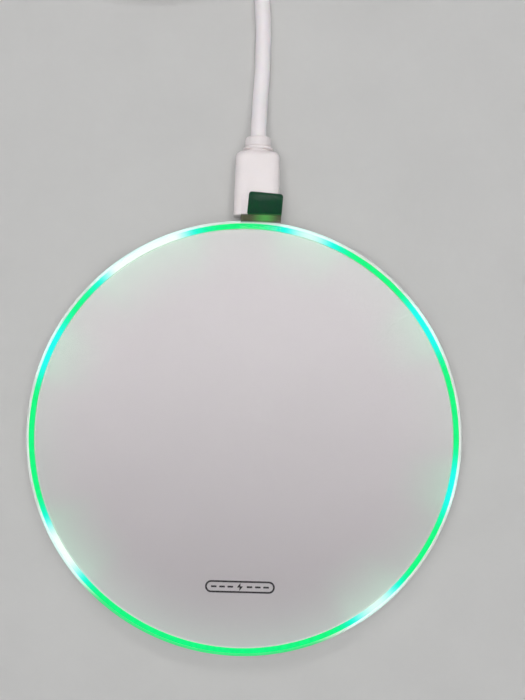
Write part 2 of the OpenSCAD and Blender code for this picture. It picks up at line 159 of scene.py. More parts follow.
def spaced(points: np.ndarray, step: float, closed: bool = False) -> np.ndarray:
    """Walks along a polyline and puts a point every step, or a little less.

    Args:
        points: The polyline, n by 2 or 3.
        step: Wanted distance between points.
        closed: True joins the last point back to the first, without repeating it.

    Returns:
        The evenly spaced points.
    """
    line = np.vstack([points, points[:1]]) if closed else points
    run = np.r_[0, np.cumsum(np.linalg.norm(np.diff(line, axis=0), axis=1))]
    count = max(2, math.ceil(run[-1] / step)) + 1
    at = np.linspace(0, run[-1], count)
    out = np.stack([np.interp(at, run, line[:, k]) for k in range(line.shape[1])], axis=1)
    return out[:-1] if closed else out


def spline(points: np.ndarray, per_span: int) -> np.ndarray:
    """A Catmull-Rom curve through the points.

    On the span from b to c, with neighbours a and d, it is the cubic
    (2b + (c-a)s + (2a-5b+4c-d)s^2 + (3b-a-3c+d)s^3) / 2 with s from 0 to 1. The end points
    are doubled by mirroring their neighbours through them.

    Args:
        points: The points, n by 3.
        per_span: Curve points on each span.

    Returns:
        The curve's points.
    """
    ends = np.vstack([2 * points[0] - points[1], points, 2 * points[-1] - points[-2]])
    a, b, c, d = (ends[k:len(ends) - 3 + k, None] for k in range(4))
    s = np.linspace(0, 1, per_span, endpoint=False)[None, :, None]
    curve = (2 * b + (c - a) * s + (2 * a - 5 * b + 4 * c - d) * s**2
             + (3 * b - a - 3 * c + d) * s**3) / 2
    return np.vstack([curve.reshape(-1, 3), points[-1:]])


def lathe(profile: np.ndarray, columns: int) -> np.ndarray:
    """Turns a profile round the Z axis: (r cos a, r sin a, z), a going once round.

    Args:
        profile: Points of radius and height, n by 2.
        columns: Points round each ring.

    Returns:
        Rows for Form.loft, n by columns by 3.
    """
    a = np.linspace(0, TURN, columns, endpoint=False)
    r, z = profile[:, :1], profile[:, 1:]
    return np.stack([r * np.cos(a), r * np.sin(a), z + 0 * a], axis=2)


def upright_y(rows: np.ndarray, at: tuple[float, float, float]) -> np.ndarray:
    """Lays rows that were made along Z down along +Y, then moves them: (x, z, -y) plus at."""
    return np.stack([rows[..., 0], rows[..., 2], -rows[..., 1]], axis=-1) + np.array(at)


def sweep(path: np.ndarray, outline: np.ndarray) -> np.ndarray:
    """Carries an outline along a path, square to it, its second axis kept nearest to +Z.

    At each point the side is the heading cross +Z, and the outline's point (u, v) goes to
    path + u side + v (side cross heading).

    Args:
        path: The path's points, n by 3.
        outline: The outline's points, m by 2.

    Returns:
        Rows for Form.loft, n by m by 3.
    """
    ahead = np.gradient(path, axis=0)
    ahead /= np.linalg.norm(ahead, axis=1, keepdims=True)
    side = np.cross(ahead, [0.0, 0.0, 1.0])
    side /= np.linalg.norm(side, axis=1, keepdims=True)
    up = np.cross(side, ahead)
    return path[:, None] + outline[:, 0, None] * side[:, None] + outline[:, 1, None] * up[:, None]


@dataclass
class Form:
    """A mesh being gathered from closed blocks, before it becomes one Blender object."""

    points: list[np.ndarray] = field(default_factory=list)
    quads: list[np.ndarray] = field(default_factory=list)
    fans: list[np.ndarray] = field(default_factory=list)
    quad_uvs: list[np.ndarray] = field(default_factory=list)
    fan_uvs: list[np.ndarray] = field(default_factory=list)
    count: int = 0

    def loft(self, rows: np.ndarray, ring: bool = False) -> "Form":
        """Adds one closed block skinned over rows of points.

        Each row is a closed loop. Neighbouring rows are joined by quads. A ring's last row is
        joined to its first; otherwise both ends are closed by a fan from the row's middle.
        The block's signed volume says whether its faces point out, and turns them if not.

        Args:
            rows: Rows by columns by 3.
            ring: True for a block that closes on itself.

        Returns:
            This form, so that calls can be chained.
        """
        n, m = rows.shape[:2]
        points = rows.reshape(-1, 3)
        i, j = np.meshgrid(np.arange(n if ring else n - 1), np.arange(m), indexing="ij")
        i, j = i.ravel(), j.ravel()
        i2, j2 = (i + 1) % n, (j + 1) % m
        quads = np.stack([i * m + j, i * m + j2, i2 * m + j2, i2 * m + j], axis=1)
        run = np.r_[0, np.cumsum(np.linalg.norm(np.diff(rows.mean(axis=1), axis=0), axis=1))]
        run = np.r_[run, run[-1]]
        u = np.stack([run[i], run[i], run[i + 1], run[i + 1]], axis=1)
        v = np.stack([j, j + 1, j + 1, j], axis=1) / m
        fans = np.zeros((0, 3), int)
        if not ring:
            middle = np.stack([rows[0].mean(axis=0), rows[-1].mean(axis=0)])
            points = np.vstack([points, middle])
            k = np.arange(m)
            k2 = (k + 1) % m
            first = np.stack([np.full(m, n * m), k2, k], axis=1)
            last = np.stack([np.full(m, n * m + 1), (n - 1) * m + k, (n - 1) * m + k2], axis=1)
            fans = np.vstack([first, last])
        corners = [points[quads[:, k]] for k in range(4)]
        volume = np.einsum("ij,ij->", corners[0], np.cross(corners[1], corners[2]))
        volume += np.einsum("ij,ij->", corners[0], np.cross(corners[2], corners[3]))
        if len(fans):
            tri = [points[fans[:, k]] for k in range(3)]
            volume += np.einsum("ij,ij->", tri[0], np.cross(tri[1], tri[2]))
        uv = np.stack([u, v], axis=2)
        if volume < 0:
            quads, uv, fans = quads[:, ::-1], uv[:, ::-1], fans[:, ::-1]
        self.points.append(points)
        self.quads.append(quads + self.count)
        self.fans.append(fans + self.count)
        self.quad_uvs.append(uv)
        self.fan_uvs.append(np.zeros((len(fans), 3, 2)))
        self.count += len(points)
        return self

    def make(self, name: str, crease: float = CREASE) -> bpy.types.Object:
        """Writes the gathered blocks into one mesh object.

        Args:
            name: The object's name.
            crease: Edges that turn by more degrees than this stay sharp.

        Returns:
            The object, linked into the scene.
        """
        mesh = bpy.data.meshes.new(name)
        faces = np.vstack(self.quads).tolist() + np.vstack(self.fans).tolist()
        mesh.from_pydata(np.vstack(self.points).tolist(), [], faces)
        layer = mesh.uv_layers.new(name="Along")
        uv = np.concatenate([np.vstack(self.quad_uvs).reshape(-1, 2),
                             np.vstack(self.fan_uvs).reshape(-1, 2)])
        layer.data.foreach_set("uv", uv.astype(np.float32).ravel())
        mesh.polygons.foreach_set("use_smooth", np.ones(len(faces), bool))
        mesh.set_sharp_from_angle(angle=math.radians(crease))
        mesh.update()
        piece = bpy.data.objects.new(name, mesh)
        bpy.context.scene.collection.objects.link(piece)
        return piece


def carve(piece: bpy.types.Object, cutter: Form) -> None:
    """Takes the cutter's blocks out of a piece with a Boolean, and keeps the result.

    Args:
        piece: The closed piece to cut.
        cutter: The closed blocks to take away.
    """
    tool = cutter.make("cutter")
    modifier = piece.modifiers.new("carve", "BOOLEAN")
    modifier.operation, modifier.object, modifier.solver = "DIFFERENCE", tool, "EXACT"
    view = bpy.context.evaluated_depsgraph_get()
    view.update()
    cut = bpy.data.meshes.new_from_object(piece.evaluated_get(view))
    piece.modifiers.remove(modifier)
    old, piece.data = piece.data, cut
    bpy.data.meshes.remove(old)
    cut.set_sharp_from_angle(angle=math.radians(CREASE))
    bpy.data.objects.remove(tool)


def slab(outline: np.ndarray, centre: tuple[float, float], shares: list[float],
         top: np.ndarray | float, thickness: float,
         drape: "Drape | None" = None) -> np.ndarray:
    """A thin sheet with the outline's shape, as one loft from its underside to its top.

    Each row is the outline shrunk towards the centre by a share, so the sheet has rings of
    points to bend with. The underside runs outwards and the top back inwards.

    Args:
        outline: The sheet's edge in plan, n by 2.
        centre: The point that the rings shrink to.
        shares: Growing shares of the outline's size, the last one 1.
        top: Height of the top before draping.
        thickness: The sheet's thickness.
        drape: How the sheet falls over an edge, if it does.

    Returns:
        Rows for Form.loft.
    """
    share = np.array(shares)[:, None, None]
    plan = np.array(centre) + share * (outline[None] - np.array(centre))
    high = np.full(plan.shape[:2], float(top))
    if drape is not None:
        high = high - drape.fall(plan[..., 1])
    upper = np.concatenate([plan, high[..., None]], axis=2)
    lower = np.concatenate([plan, high[..., None] - thickness], axis=2)
    return np.concatenate([lower, upper[::-1]])


@dataclass(frozen=True)
class Drape:
    """How the film's tongue comes down off the pad and lies on the plug.

    The fall is depth times the ease of (y - start) / run, less a slight curl at the tip.
    """

    start: float
    run: float
    depth: float
    tip: float
    curl: float

    def fall(self, y: np.ndarray) -> np.ndarray:
        """The drop below the flat film at each y."""
        down = self.depth * smooth((y - self.start) / self.run)
        return down - self.curl * smooth((y - self.tip) / self.run)


# ---------------------------------------------------------------- finishes


class Nodes:
    """One material's node tree, with a short method for each kind of node in use."""

    def __init__(self, name: str) -> None:
        """Starts a material with one Principled shader.

        Args:
            name: The material's name.
        """
        self.material = bpy.data.materials.new(name)
        self.material.use_nodes = True
        self.tree = self.material.node_tree
        self.shader = next(n for n in self.tree.nodes if n.type == "BSDF_PRINCIPLED")
        self.output = next(n for n in self.tree.nodes if n.type == "OUTPUT_MATERIAL")
        self.where = self.add("ShaderNodeTexCoord")

    def add(self, kind: str, **settings: object) -> bpy.types.Node:
        """A new node of a kind, with its properties set.

        Args:
            kind: Blender's name of the node type.
            settings: Properties of the node, by name.

        Returns:
            The node.
        """
        node = self.tree.nodes.new(kind)
        for key, value in settings.items():
            setattr(node, key, value)
        return node

    def join(self, source: object, target: bpy.types.NodeSocket) -> None:
        """Links a socket, or sets a plain value, on a target socket.

        Args:
            source: A socket to link from, or a value to set.
            target: The input that takes it.
        """
        if isinstance(source, bpy.types.NodeSocket):
            self.tree.links.new(source, target)
        else:
            target.default_value = source

    def constant(self, **sockets: object) -> None:
        """Sets the shader's own sockets to plain values.

        Args:
            sockets: Values by socket name, with underscores for spaces.
        """
        for key, value in sockets.items():
            self.shader.inputs[key.replace("_", " ")].default_value = value

    @property
    def point(self) -> bpy.types.NodeSocket:
        """The piece's own coordinates, in metres."""
        return self.where.outputs["Object"]

    @property
    def along(self) -> bpy.types.NodeSocket:
        """The piece's UV: metres along a swept shape, and turns round it."""
        return self.where.outputs["UV"]

    def math(self, operation: str, *values: object) -> bpy.types.NodeSocket:
        """A Math node's result.

        Args:
            operation: Blender's name of the operation.
            values: Its inputs, sockets or numbers.

        Returns:
            The result's socket.
        """
        node = self.add("ShaderNodeMath", operation=operation)
        for socket, value in zip(node.inputs, values):
            self.join(value, socket)
        return node.outputs[0]

    def parts(self, vector: bpy.types.NodeSocket) -> list[bpy.types.NodeSocket]:
        """The three numbers of a vector.

        Args:
            vector: The vector's socket.

        Returns:
            The sockets of x, y and z.
        """
        node = self.add("ShaderNodeSeparateXYZ")
        self.join(vector, node.inputs[0])
        return list(node.outputs)

    def noise(self, scale: float, detail: float = 2.0, rough: float = 0.5,
              vector: bpy.types.NodeSocket | None = None) -> bpy.types.NodeSocket:
        """A noise pattern's value, which wavers about 0.5.

        Args:
            scale: Cells a metre.
            detail: How many finer layers are added.
            rough: How strong the finer layers are.
            vector: Where to read the pattern; the piece's own coordinates if left out.

        Returns:
            The value's socket.
        """
        node = self.add("ShaderNodeTexNoise")
        self.join(self.point if vector is None else vector, node.inputs["Vector"])
        node.inputs["Scale"].default_value = scale
        node.inputs["Detail"].default_value = detail
        node.inputs["Roughness"].default_value = rough
        return node.outputs[0]

    def span(self, value: bpy.types.NodeSocket, low: float, high: float, out_low: float,
             out_high: float, ease: bool = False) -> bpy.types.NodeSocket:
        """Maps low..high to out_low..out_high, and holds it there outside.

        Args:
            value: What to map.
            low: Where the span starts.
            high: Where it ends.
            out_low: The result at low.
            out_high: The result at high.
            ease: True for an S-shaped curve, False for a straight line.

        Returns:
            The result's socket.
        """
        node = self.add("ShaderNodeMapRange")
        node.interpolation_type = "SMOOTHSTEP" if ease else "LINEAR"
        for socket, number in zip(node.inputs, (value, low, high, out_low, out_high)):
            self.join(number, socket)
        return node.outputs[0]

    def spread(self, pattern: bpy.types.NodeSocket, out_low: float = 0.0,
               out_high: float = 1.0) -> bpy.types.NodeSocket:
        """Stretches a noise pattern's usual values, 0.3 to 0.7, over a range.

        Args:
            pattern: The noise pattern's value.
            out_low: The result where it is weak.
            out_high: The result where it is strong.

        Returns:
            The result's socket.
        """
        return self.span(pattern, 0.3, 0.7, out_low, out_high)

    def mix(self, share: object, first: object, second: object) -> bpy.types.NodeSocket:
        """A colour between two, by a share.

        Args:
            share: The second colour's share, from 0 to 1.
            first: One colour, a socket or three numbers.
            second: The other.

        Returns:
            The colour's socket.
        """
        node = self.add("ShaderNodeMix", data_type="RGBA")
        self.join(share, node.inputs[0])
        for value, socket in ((first, node.inputs[6]), (second, node.inputs[7])):
            self.join((*value, 1.0) if isinstance(value, tuple) else value, socket)
        return node.outputs[2]

    def bump(self, height: bpy.types.NodeSocket, depth: float,
             strength: float = 1.0) -> bpy.types.NodeSocket:
        """A normal pushed about by a height.

        Args:
            height: The height, from 0 to 1.
            depth: How many metres a height of 1 is.
            strength: How much of the push to show.

        Returns:
            The normal's socket.
        """
        node = self.add("ShaderNodeBump")
        node.inputs["Strength"].default_value = strength
        node.inputs["Distance"].default_value = depth
        self.join(height, node.inputs["Height"])
        return node.outputs[0]


def shade(colour: Colour, factor: float) -> Colour:
    """A colour made lighter or darker by a factor, each channel held at 1."""
    return tuple(min(1.0, channel * factor) for channel in colour)


@dataclass(frozen=True)
class Moulded:
    """Moulded plastic, rubber or fired ceramic: fine grain, faint cloudiness, scuffs."""

    name: str
    colour: Colour
    roughness: float = 0.4
    grain: float = 2500.0
    depth: float = 0.00002
    cloud: float = 0.05
    coat: float = 0.0
    glow_through: float = 0.0
    shine: float = 0.5

    def material(self) -> bpy.types.Material:
        """Builds the material: cloud noise in the colour, scuffs in the roughness, grain bump.

        Returns:
            The material.
        """
        n = Nodes(self.name)
        broad = n.noise(60.0, 3.0)
        n.join(n.mix(n.spread(broad), shade(self.colour, 1 - self.cloud),
                     shade(self.colour, 1 + self.cloud / 2)), n.shader.inputs["Base Color"])
        scuff = n.noise(320.0, 4.0, 0.65)
        n.join(n.span(scuff, 0.35, 0.75, self.roughness * 0.85, self.roughness * 1.2),
               n.shader.inputs["Roughness"])
        n.join(n.bump(n.noise(self.grain, 2.0), self.depth), n.shader.inputs["Normal"])
        n.constant(Coat_Weight=self.coat, Coat_Roughness=0.12, IOR=1.48,
                   Specular_IOR_Level=self.shine)
        if self.glow_through:
            n.constant(Subsurface_Weight=self.glow_through, Subsurface_Scale=0.0012,
                       Subsurface_Radius=(1.0, 0.9, 0.8))
        return n.material


@dataclass(frozen=True)
class Plated:
    """Bare or plated metal with fine brushing along one way and slight tarnish."""

    name: str
    colour: Colour
    roughness: float = 0.28
    stretch: tuple[float, float, float] = (1.0, 12.0, 1.0)

    def material(self) -> bpy.types.Material:
        """Builds the material: stretched noise for brush lines, broad noise for tarnish.

        Returns:
            The material.
        """
        n = Nodes(self.name)
        mapping = n.add("ShaderNodeMapping")
        n.join(n.point, mapping.inputs["Vector"])
        mapping.inputs["Scale"].default_value = tuple(1.0 / s for s in self.stretch)
        lines = n.noise(9000.0, 3.0, 0.6, mapping.outputs[0])
        tarnish = n.noise(240.0, 4.0, 0.6)
        n.join(n.mix(n.span(tarnish, 0.4, 0.75, 0.0, 1.0), self.colour,
                     shade(self.colour, 0.8)), n.shader.inputs["Base Color"])
        n.join(n.spread(lines, self.roughness * 0.7, self.roughness * 1.4),
               n.shader.inputs["Roughness"])
        n.join(n.bump(lines, 0.000004), n.shader.inputs["Normal"])
        n.constant(Metallic=1.0)
        return n.material


@dataclass(frozen=True)
class EdgeLight:
    """One edge light as the ring shows it: its angle, and how far and how white it glows.

    The angle runs from +X, and it and both reaches are in degrees.
    """

    angle: float
    bright: float
    reach: float
    white: float = 0.0
    white_reach: float = 6.0


@dataclass(frozen=True)
class Lamps:
    """The lights behind the ring, as one node group that every lit piece shares.

    At a point, a light's lobe is max(0, cos d)^(2 / w^2), where d is the point's angle from the
    light and w its reach in radians, which is close to a bell curve of that width. The lobes
    are summed, and the sums eased so that each glow has a full middle and a short edge.
    """

    lights: tuple[EdgeLight, ...]

    def group(self) -> bpy.types.NodeTree:
        """Builds the group, or finds it: Point in; Cyan, White and Radius out.

        Returns:
            The node group.
        """
        found = bpy.data.node_groups.get("edge lights")
        if found:
            return found
        tree = bpy.data.node_groups.new("edge lights", "ShaderNodeTree")
        tree.interface.new_socket("Point", in_out="INPUT", socket_type="NodeSocketVector")
        for name in ("Cyan", "White", "Radius"):
            tree.interface.new_socket(name, in_out="OUTPUT", socket_type="NodeSocketFloat")
        inside, outside = tree.nodes.new("NodeGroupInput"), tree.nodes.new("NodeGroupOutput")

        def vector(operation: str, first: object, second: object = None) -> bpy.types.Node:
            """A Vector Math node, its inputs linked or set.

            Args:
                operation: Blender's name of the operation.
                first: The first input, a socket or three numbers.
                second: The second input, if the operation has one.

            Returns:
                The node, whose outputs are a vector and a number.
            """
            node = tree.nodes.new("ShaderNodeVectorMath")
            node.operation = operation
            for value, socket in ((first, node.inputs[0]), (second, node.inputs[1])):
                if isinstance(value, bpy.types.NodeSocket):
                    tree.links.new(value, socket)
                elif value is not None:
                    socket.default_value = value
            return node

        def number(operation: str, *values: object) -> bpy.types.NodeSocket:
            """A Math node's result, its inputs linked or set.

            Args:
                operation: Blender's name of the operation.
                values: Its inputs, sockets or numbers.

            Returns:
                The result's socket.
            """
            node = tree.nodes.new("ShaderNodeMath")
            node.operation = operation
            for value, socket in zip(values, node.inputs):
                if isinstance(value, bpy.types.NodeSocket):
                    tree.links.new(value, socket)
                else:
                    socket.default_value = value
            return node.outputs[0]

        flat = vector("MULTIPLY", inside.outputs[0], (1.0, 1.0, 0.0)).outputs[0]
        heading = vector("NORMALIZE", flat).outputs[0]
        cyan, white = 0.0, 0.0
        for light in self.lights:
            a = math.radians(light.angle)
            lobe = vector("DOT_PRODUCT", heading, (math.cos(a), math.sin(a), 0.0)).outputs[1]
            lobe = number("MAXIMUM", lobe, 0.0)
            narrow = number("POWER", lobe, 2 / math.radians(light.reach) ** 2)
            cyan = number("MULTIPLY_ADD", narrow, light.bright, cyan)
            if light.white:
                spot = number("POWER", lobe, 2 / math.radians(light.white_reach) ** 2)
                white = number("MULTIPLY_ADD", spot, light.white, white)
        for total, low, high, name in ((cyan, 0.1, 0.85, "Cyan"), (white, 0.2, 0.8, "White")):
            ease = tree.nodes.new("ShaderNodeMapRange")
            ease.interpolation_type = "SMOOTHSTEP"
            ease.inputs["From Min"].default_value = low
            ease.inputs["From Max"].default_value = high
            tree.links.new(total, ease.inputs["Value"])
            tree.links.new(ease.outputs[0], outside.inputs[name])
        tree.links.new(vector("LENGTH", flat).outputs[1], outside.inputs["Radius"])
        return tree

    def use(self, nodes: Nodes) -> bpy.types.Node:
        """Puts the group in a material, fed with the piece's own coordinates.

        Args:
            nodes: The material's nodes.

        Returns:
            The group's node.
        """
        node = nodes.add("ShaderNodeGroup", node_tree=self.group())
        nodes.join(nodes.point, node.inputs["Point"])
        return node


LAMPS = Lamps((
    EdgeLight(33, 1.0, 9.5),
    EdgeLight(73.5, 1.1, 10, white=0.6, white_reach=7),
    EdgeLight(119.5, 1.7, 14.5, white=1.5, white_reach=11),
    EdgeLight(157, 0.95, 9.5),
    EdgeLight(213, 1.3, 11.5, white=0.85, white_reach=9),
    EdgeLight(310, 1.1, 10, white=0.62, white_reach=8),
    EdgeLight(348, 0.85, 9.5),
))
GREEN: Colour = (0.006, 0.90, 0.215)
CYAN: Colour = (0.012, 0.93, 0.84)
HOT: Colour = (0.95, 1.0, 0.97)


@dataclass(frozen=True)
class LitGuide:
    """The clear ring, lit from behind: green all round, cyan and white over the lights."""

    name: str
    strength: float = 1.0

    def material(self) -> bpy.types.Material:
        """Builds the material: the lamps' lobes mix green, cyan and white light.

        Returns:
            The material.
        """
        n = Nodes(self.name)
        lamps = LAMPS.use(n)
        grain = n.noise(900.0, 3.0)
        green = n.mix(n.spread(grain), shade(GREEN, 0.95), shade(GREEN, 1.05))
        light = n.mix(lamps.outputs["Cyan"], green, CYAN)
        light = n.mix(lamps.outputs["White"], light, HOT)
        n.join(light, n.shader.inputs["Emission Color"])
        n.constant(Emission_Strength=self.strength, Roughness=0.25, IOR=1.45,
                   Base_Color=(0.004, 0.05, 0.02, 1.0), Specular_IOR_Level=0.03)
        n.join(n.bump(n.noise(1500.0, 2.0), 0.00001), n.shader.inputs["Normal"])
        return n.material


@dataclass(frozen=True)
class PanelGloss:
    """The panel: a grey-white back under clear polish, with painted green light near the ring."""

    name: str
    colour: Colour
    edge: float
    creep: float

    def material(self) -> bpy.types.Material:
        """Builds the material: painted green light, in the colour and as emission, grows with the
        radius and over each light.

        Along the front edge, which lies furthest from the overhead light, the ring's light in
        the clear polish is painted as a paler band, and a painted glow lines the very edge.

        Returns:
            The material.
        """
        n = Nodes(self.name)
        lamps = LAMPS.use(n)
        # near, lobe and tint: painted green light from the ring, strongest at the edge and over
        # each light
        near = n.span(lamps.outputs["Radius"], self.edge - self.creep, self.edge, 0.0, 1.0)
        near = n.math("POWER", near, 2.0)
        lobe = n.math("MULTIPLY_ADD", lamps.outputs["Cyan"], 0.75, 0.25)
        tint = n.math("MULTIPLY", near, lobe)
        cloud = n.spread(n.noise(45.0, 4.0, 0.55))
        base = n.mix(cloud, shade(self.colour, 0.985), shade(self.colour, 1.015))
        n.join(n.mix(n.math("MULTIPLY", tint, 0.5), base, (0.42, 0.66, 0.50)),
               n.shader.inputs["Base Color"])
        # front: where the paler band of painted light lies, along the front edge
        y = n.parts(n.point)[1]
        front = n.span(y, -0.8 * self.edge, -0.22 * self.edge, 1.0, 0.0, ease=True)
        glow = n.mix(lamps.outputs["White"], (0.10, 0.75, 0.32), (0.30, 0.80, 0.50))
        n.join(n.mix(n.math("MULTIPLY", front, 0.85), glow, (0.80, 1.0, 0.90)),
               n.shader.inputs["Emission Color"])
        # a faint painted glow along the panel's very edge
        painted_edge_glow = n.span(lamps.outputs["Radius"], self.edge - 0.6 * MM, self.edge, 0.0, 0.2)
        band = n.math("MULTIPLY_ADD", n.math("MULTIPLY", near, front), 0.12, painted_edge_glow)
        n.join(n.math("MULTIPLY_ADD", tint, 0.085, band), n.shader.inputs["Emission Strength"])
        fleck = n.noise(900.0, 3.0, 0.6)
        n.join(n.span(fleck, 0.45, 0.8, 0.04, 0.1), n.shader.inputs["Roughness"])
        n.join(n.bump(n.noise(18.0, 1.0), 0.00004, 0.3), n.shader.inputs["Normal"])
        n.constant(IOR=1.49)
        return n.material


@dataclass(frozen=True)
class ShellWhite:
    """The shell's white plastic, with a painted glow of the lights behind it along the rim."""

    name: str
    colour: Colour
    rim: float
    low: float
    front: float
    front_angle: float = 260.0

    def material(self) -> bpy.types.Material:
        """Builds the material: satin white with fine grain, and a painted glow of the lights at
        the lip.

        At the front, the top of the lip is painted dark green and glows green: painted shade where
        the lip faces away from the light, and painted light from the ring. That part is where the
        distance along the front's direction is near the shell's radius.

        Returns:
            The material.
        """
        n = Nodes(self.name)
        lamps = LAMPS.use(n)
        x, y, height = n.parts(n.point)
        # lip: where the painted glow of the lights shows, up the outer lip
        lip = n.span(height, self.low, self.rim, 0.0, 1.0, ease=True)
        a = math.radians(self.front_angle)
        forward = n.math("MULTIPLY_ADD", y, math.sin(a), n.math("MULTIPLY", x, math.cos(a)))
        # through: painted shade and painted green glow on the front of the lip's top, in the
        # colour and the emission
        through = n.span(forward, 0.75 * self.front, 0.87 * self.front, 0.0, 1.0, ease=True)
        through = n.math("MULTIPLY", through, n.span(height, self.rim - 0.8 * MM, self.rim,
                                                     0.0, 1.0, ease=True))
        broad = n.spread(n.noise(55.0, 3.0))
        base = n.mix(broad, shade(self.colour, 0.97), self.colour)
        n.join(n.mix(through, base, (0.03, 0.35, 0.14)), n.shader.inputs["Base Color"])
        light = n.mix(lamps.outputs["Cyan"], (0.22, 0.75, 0.40), (0.25, 0.90, 0.75))
        n.join(n.mix(through, light, (0.006, 0.75, 0.16)), n.shader.inputs["Emission Color"])
        glow = n.math("MULTIPLY_ADD", lamps.outputs["Cyan"], 0.30, 0.08)
        glow = n.math("MULTIPLY_ADD", through, 0.55, glow)
        n.join(n.math("MULTIPLY", lip, glow), n.shader.inputs["Emission Strength"])
        n.join(n.span(n.noise(400.0, 4.0, 0.65), 0.35, 0.75, 0.3, 0.42),
               n.shader.inputs["Roughness"])
        n.join(n.bump(n.noise(3500.0, 2.0), 0.00002), n.shader.inputs["Normal"])
        n.constant(IOR=1.49)
        return n.material


@dataclass(frozen=True)
class ClearSheet:
    """Clear film: see-through, with gloss, fine scratches and a faint tint."""

    name: str
    tint: Colour
    gloss: float
    rim: float
    root: tuple[float, float]

    def material(self) -> bpy.types.Material:
        """Builds the material: a Transparent shader mixed with a Glossy one by a faint Fresnel.

        Only the outer side reflects, so that light isn't trapped in the sheet. Between the pad's
        rim and the tab's root the tongue is drawn dark olive and less clear, and it carries
        painted green light from the ring, as emission.

        Returns:
            The material.
        """
        n = Nodes(self.name)
        x, y, _ = n.parts(n.point)
        veil = n.math("MULTIPLY", n.span(y, self.rim - 0.5 * MM, self.rim + 0.1 * MM, 0.0, 1.0),
                      n.span(y, self.root[1], self.root[1] + 0.4 * MM, 1.0, 0.0))
        away = n.math("ABSOLUTE", n.math("SUBTRACT", x, self.root[0]))
        # green: painted green light from the ring, as emission in the tongue near the tab's middle
        green = n.math("MULTIPLY", veil, n.span(away, 0.0, 3.6 * MM, 1.0, 0.0, ease=True))
        clear = n.add("ShaderNodeBsdfTransparent")
        clear.inputs["Color"].default_value = (*self.tint, 1.0)
        fresnel = n.add("ShaderNodeFresnel")
        fresnel.inputs["IOR"].default_value = 1.3
        streak = n.noise(700.0, 5.0, 0.7)
        inner = n.add("ShaderNodeNewGeometry").outputs["Backfacing"]
        outer = n.math("SUBTRACT", 1.0, inner)
        share = n.math("MULTIPLY", fresnel.outputs[0], n.math("MULTIPLY", outer, self.gloss))
        share = n.math("MULTIPLY", share, n.span(y, self.rim, self.rim + MM, 1.0, 0.35))
        share = n.math("MULTIPLY", share, n.spread(streak, 0.95, 1.05))
        shine = n.add("ShaderNodeBsdfAnisotropic")
        n.join(n.spread(streak, 0.035, 0.05), shine.inputs["Roughness"])
        sheet, whole = n.add("ShaderNodeMixShader"), n.add("ShaderNodeMixShader")
        for mixer, blend, first, second in (
                (sheet, share, clear, shine),
                (whole, n.math("MULTIPLY", veil, 0.8), sheet, n.shader)):
            n.join(blend, mixer.inputs[0])
            n.join(first.outputs[0], mixer.inputs[1])
            n.join(second.outputs[0], mixer.inputs[2])
        n.join(whole.outputs[0], n.output.inputs["Surface"])
        n.join(n.mix(n.spread(streak), (0.07, 0.08, 0.04), (0.10, 0.11, 0.05)),
               n.shader.inputs["Base Color"])
        n.join(green, n.shader.inputs["Emission Strength"])
        n.constant(Emission_Color=(0.015, 0.27, 0.035, 1.0), Specular_IOR_Level=0.2,
                   Roughness=0.4)
        return n.material


@dataclass(frozen=True)
class TabGreen:
    """The pull tab's dark green film, lighter at its root, where the ring lights it."""

    name: str
    dark: Colour
    lit: Colour
    root: float
    run: float

    def material(self) -> bpy.types.Material:
        """Builds the material: the colour runs from lit to dark along Y, with fine creases.

        Returns:
            The material.
        """
        n = Nodes(self.name)
        y = n.parts(n.point)[1]
        deep = n.span(y, self.root, self.root + self.run, 0.0, 1.0, ease=True)
        crease = n.noise(500.0, 3.0, 0.6)
        deep = n.math("MULTIPLY_ADD", n.spread(crease, -0.5, 0.5), 0.2, deep)
        n.join(n.mix(deep, self.lit, self.dark), n.shader.inputs["Base Color"])
        n.join(n.mix(deep, self.lit, (0.0, 0.0, 0.0)), n.shader.inputs["Emission Color"])
        n.constant(Emission_Strength=0.3, Specular_IOR_Level=0.05, IOR=1.45)
        n.join(n.spread(crease, 0.22, 0.35), n.shader.inputs["Roughness"])
        n.join(n.bump(crease, 0.00004, 0.6), n.shader.inputs["Normal"])
        return n.material


@dataclass(frozen=True)
class Jacket:
    """The cord's soft jacket, with the twist of the wires just showing through."""

    name: str
    colour: Colour
    twist: float

    def material(self) -> bpy.types.Material:
        """Builds the material: a shallow helical ripple from the cord's own UV, and grain.

        Returns:
            The material.
        """
        n = Nodes(self.name)
        u, v, _ = n.parts(n.along)
        phase = n.math("MULTIPLY_ADD", u, TURN / self.twist, n.math("MULTIPLY", v, 2 * TURN))
        ripple = n.math("MULTIPLY_ADD", n.math("SINE", phase), 0.5, 0.5)
        grain = n.noise(4000.0, 2.0)
        height = n.math("MULTIPLY_ADD", grain, 0.25, ripple)
        n.join(n.bump(height, 0.00002, 0.5), n.shader.inputs["Normal"])
        broad = n.spread(n.noise(70.0, 3.0))
        n.join(n.mix(broad, shade(self.colour, 0.96), self.colour), n.shader.inputs["Base Color"])
        n.join(n.span(n.noise(260.0, 4.0, 0.6), 0.35, 0.75, 0.38, 0.52),
               n.shader.inputs["Roughness"])
        n.constant(Subsurface_Weight=0.12, Subsurface_Scale=0.001, IOR=1.46,
                   Sheen_Weight=0.05, Sheen_Roughness=0.4)
        return n.material


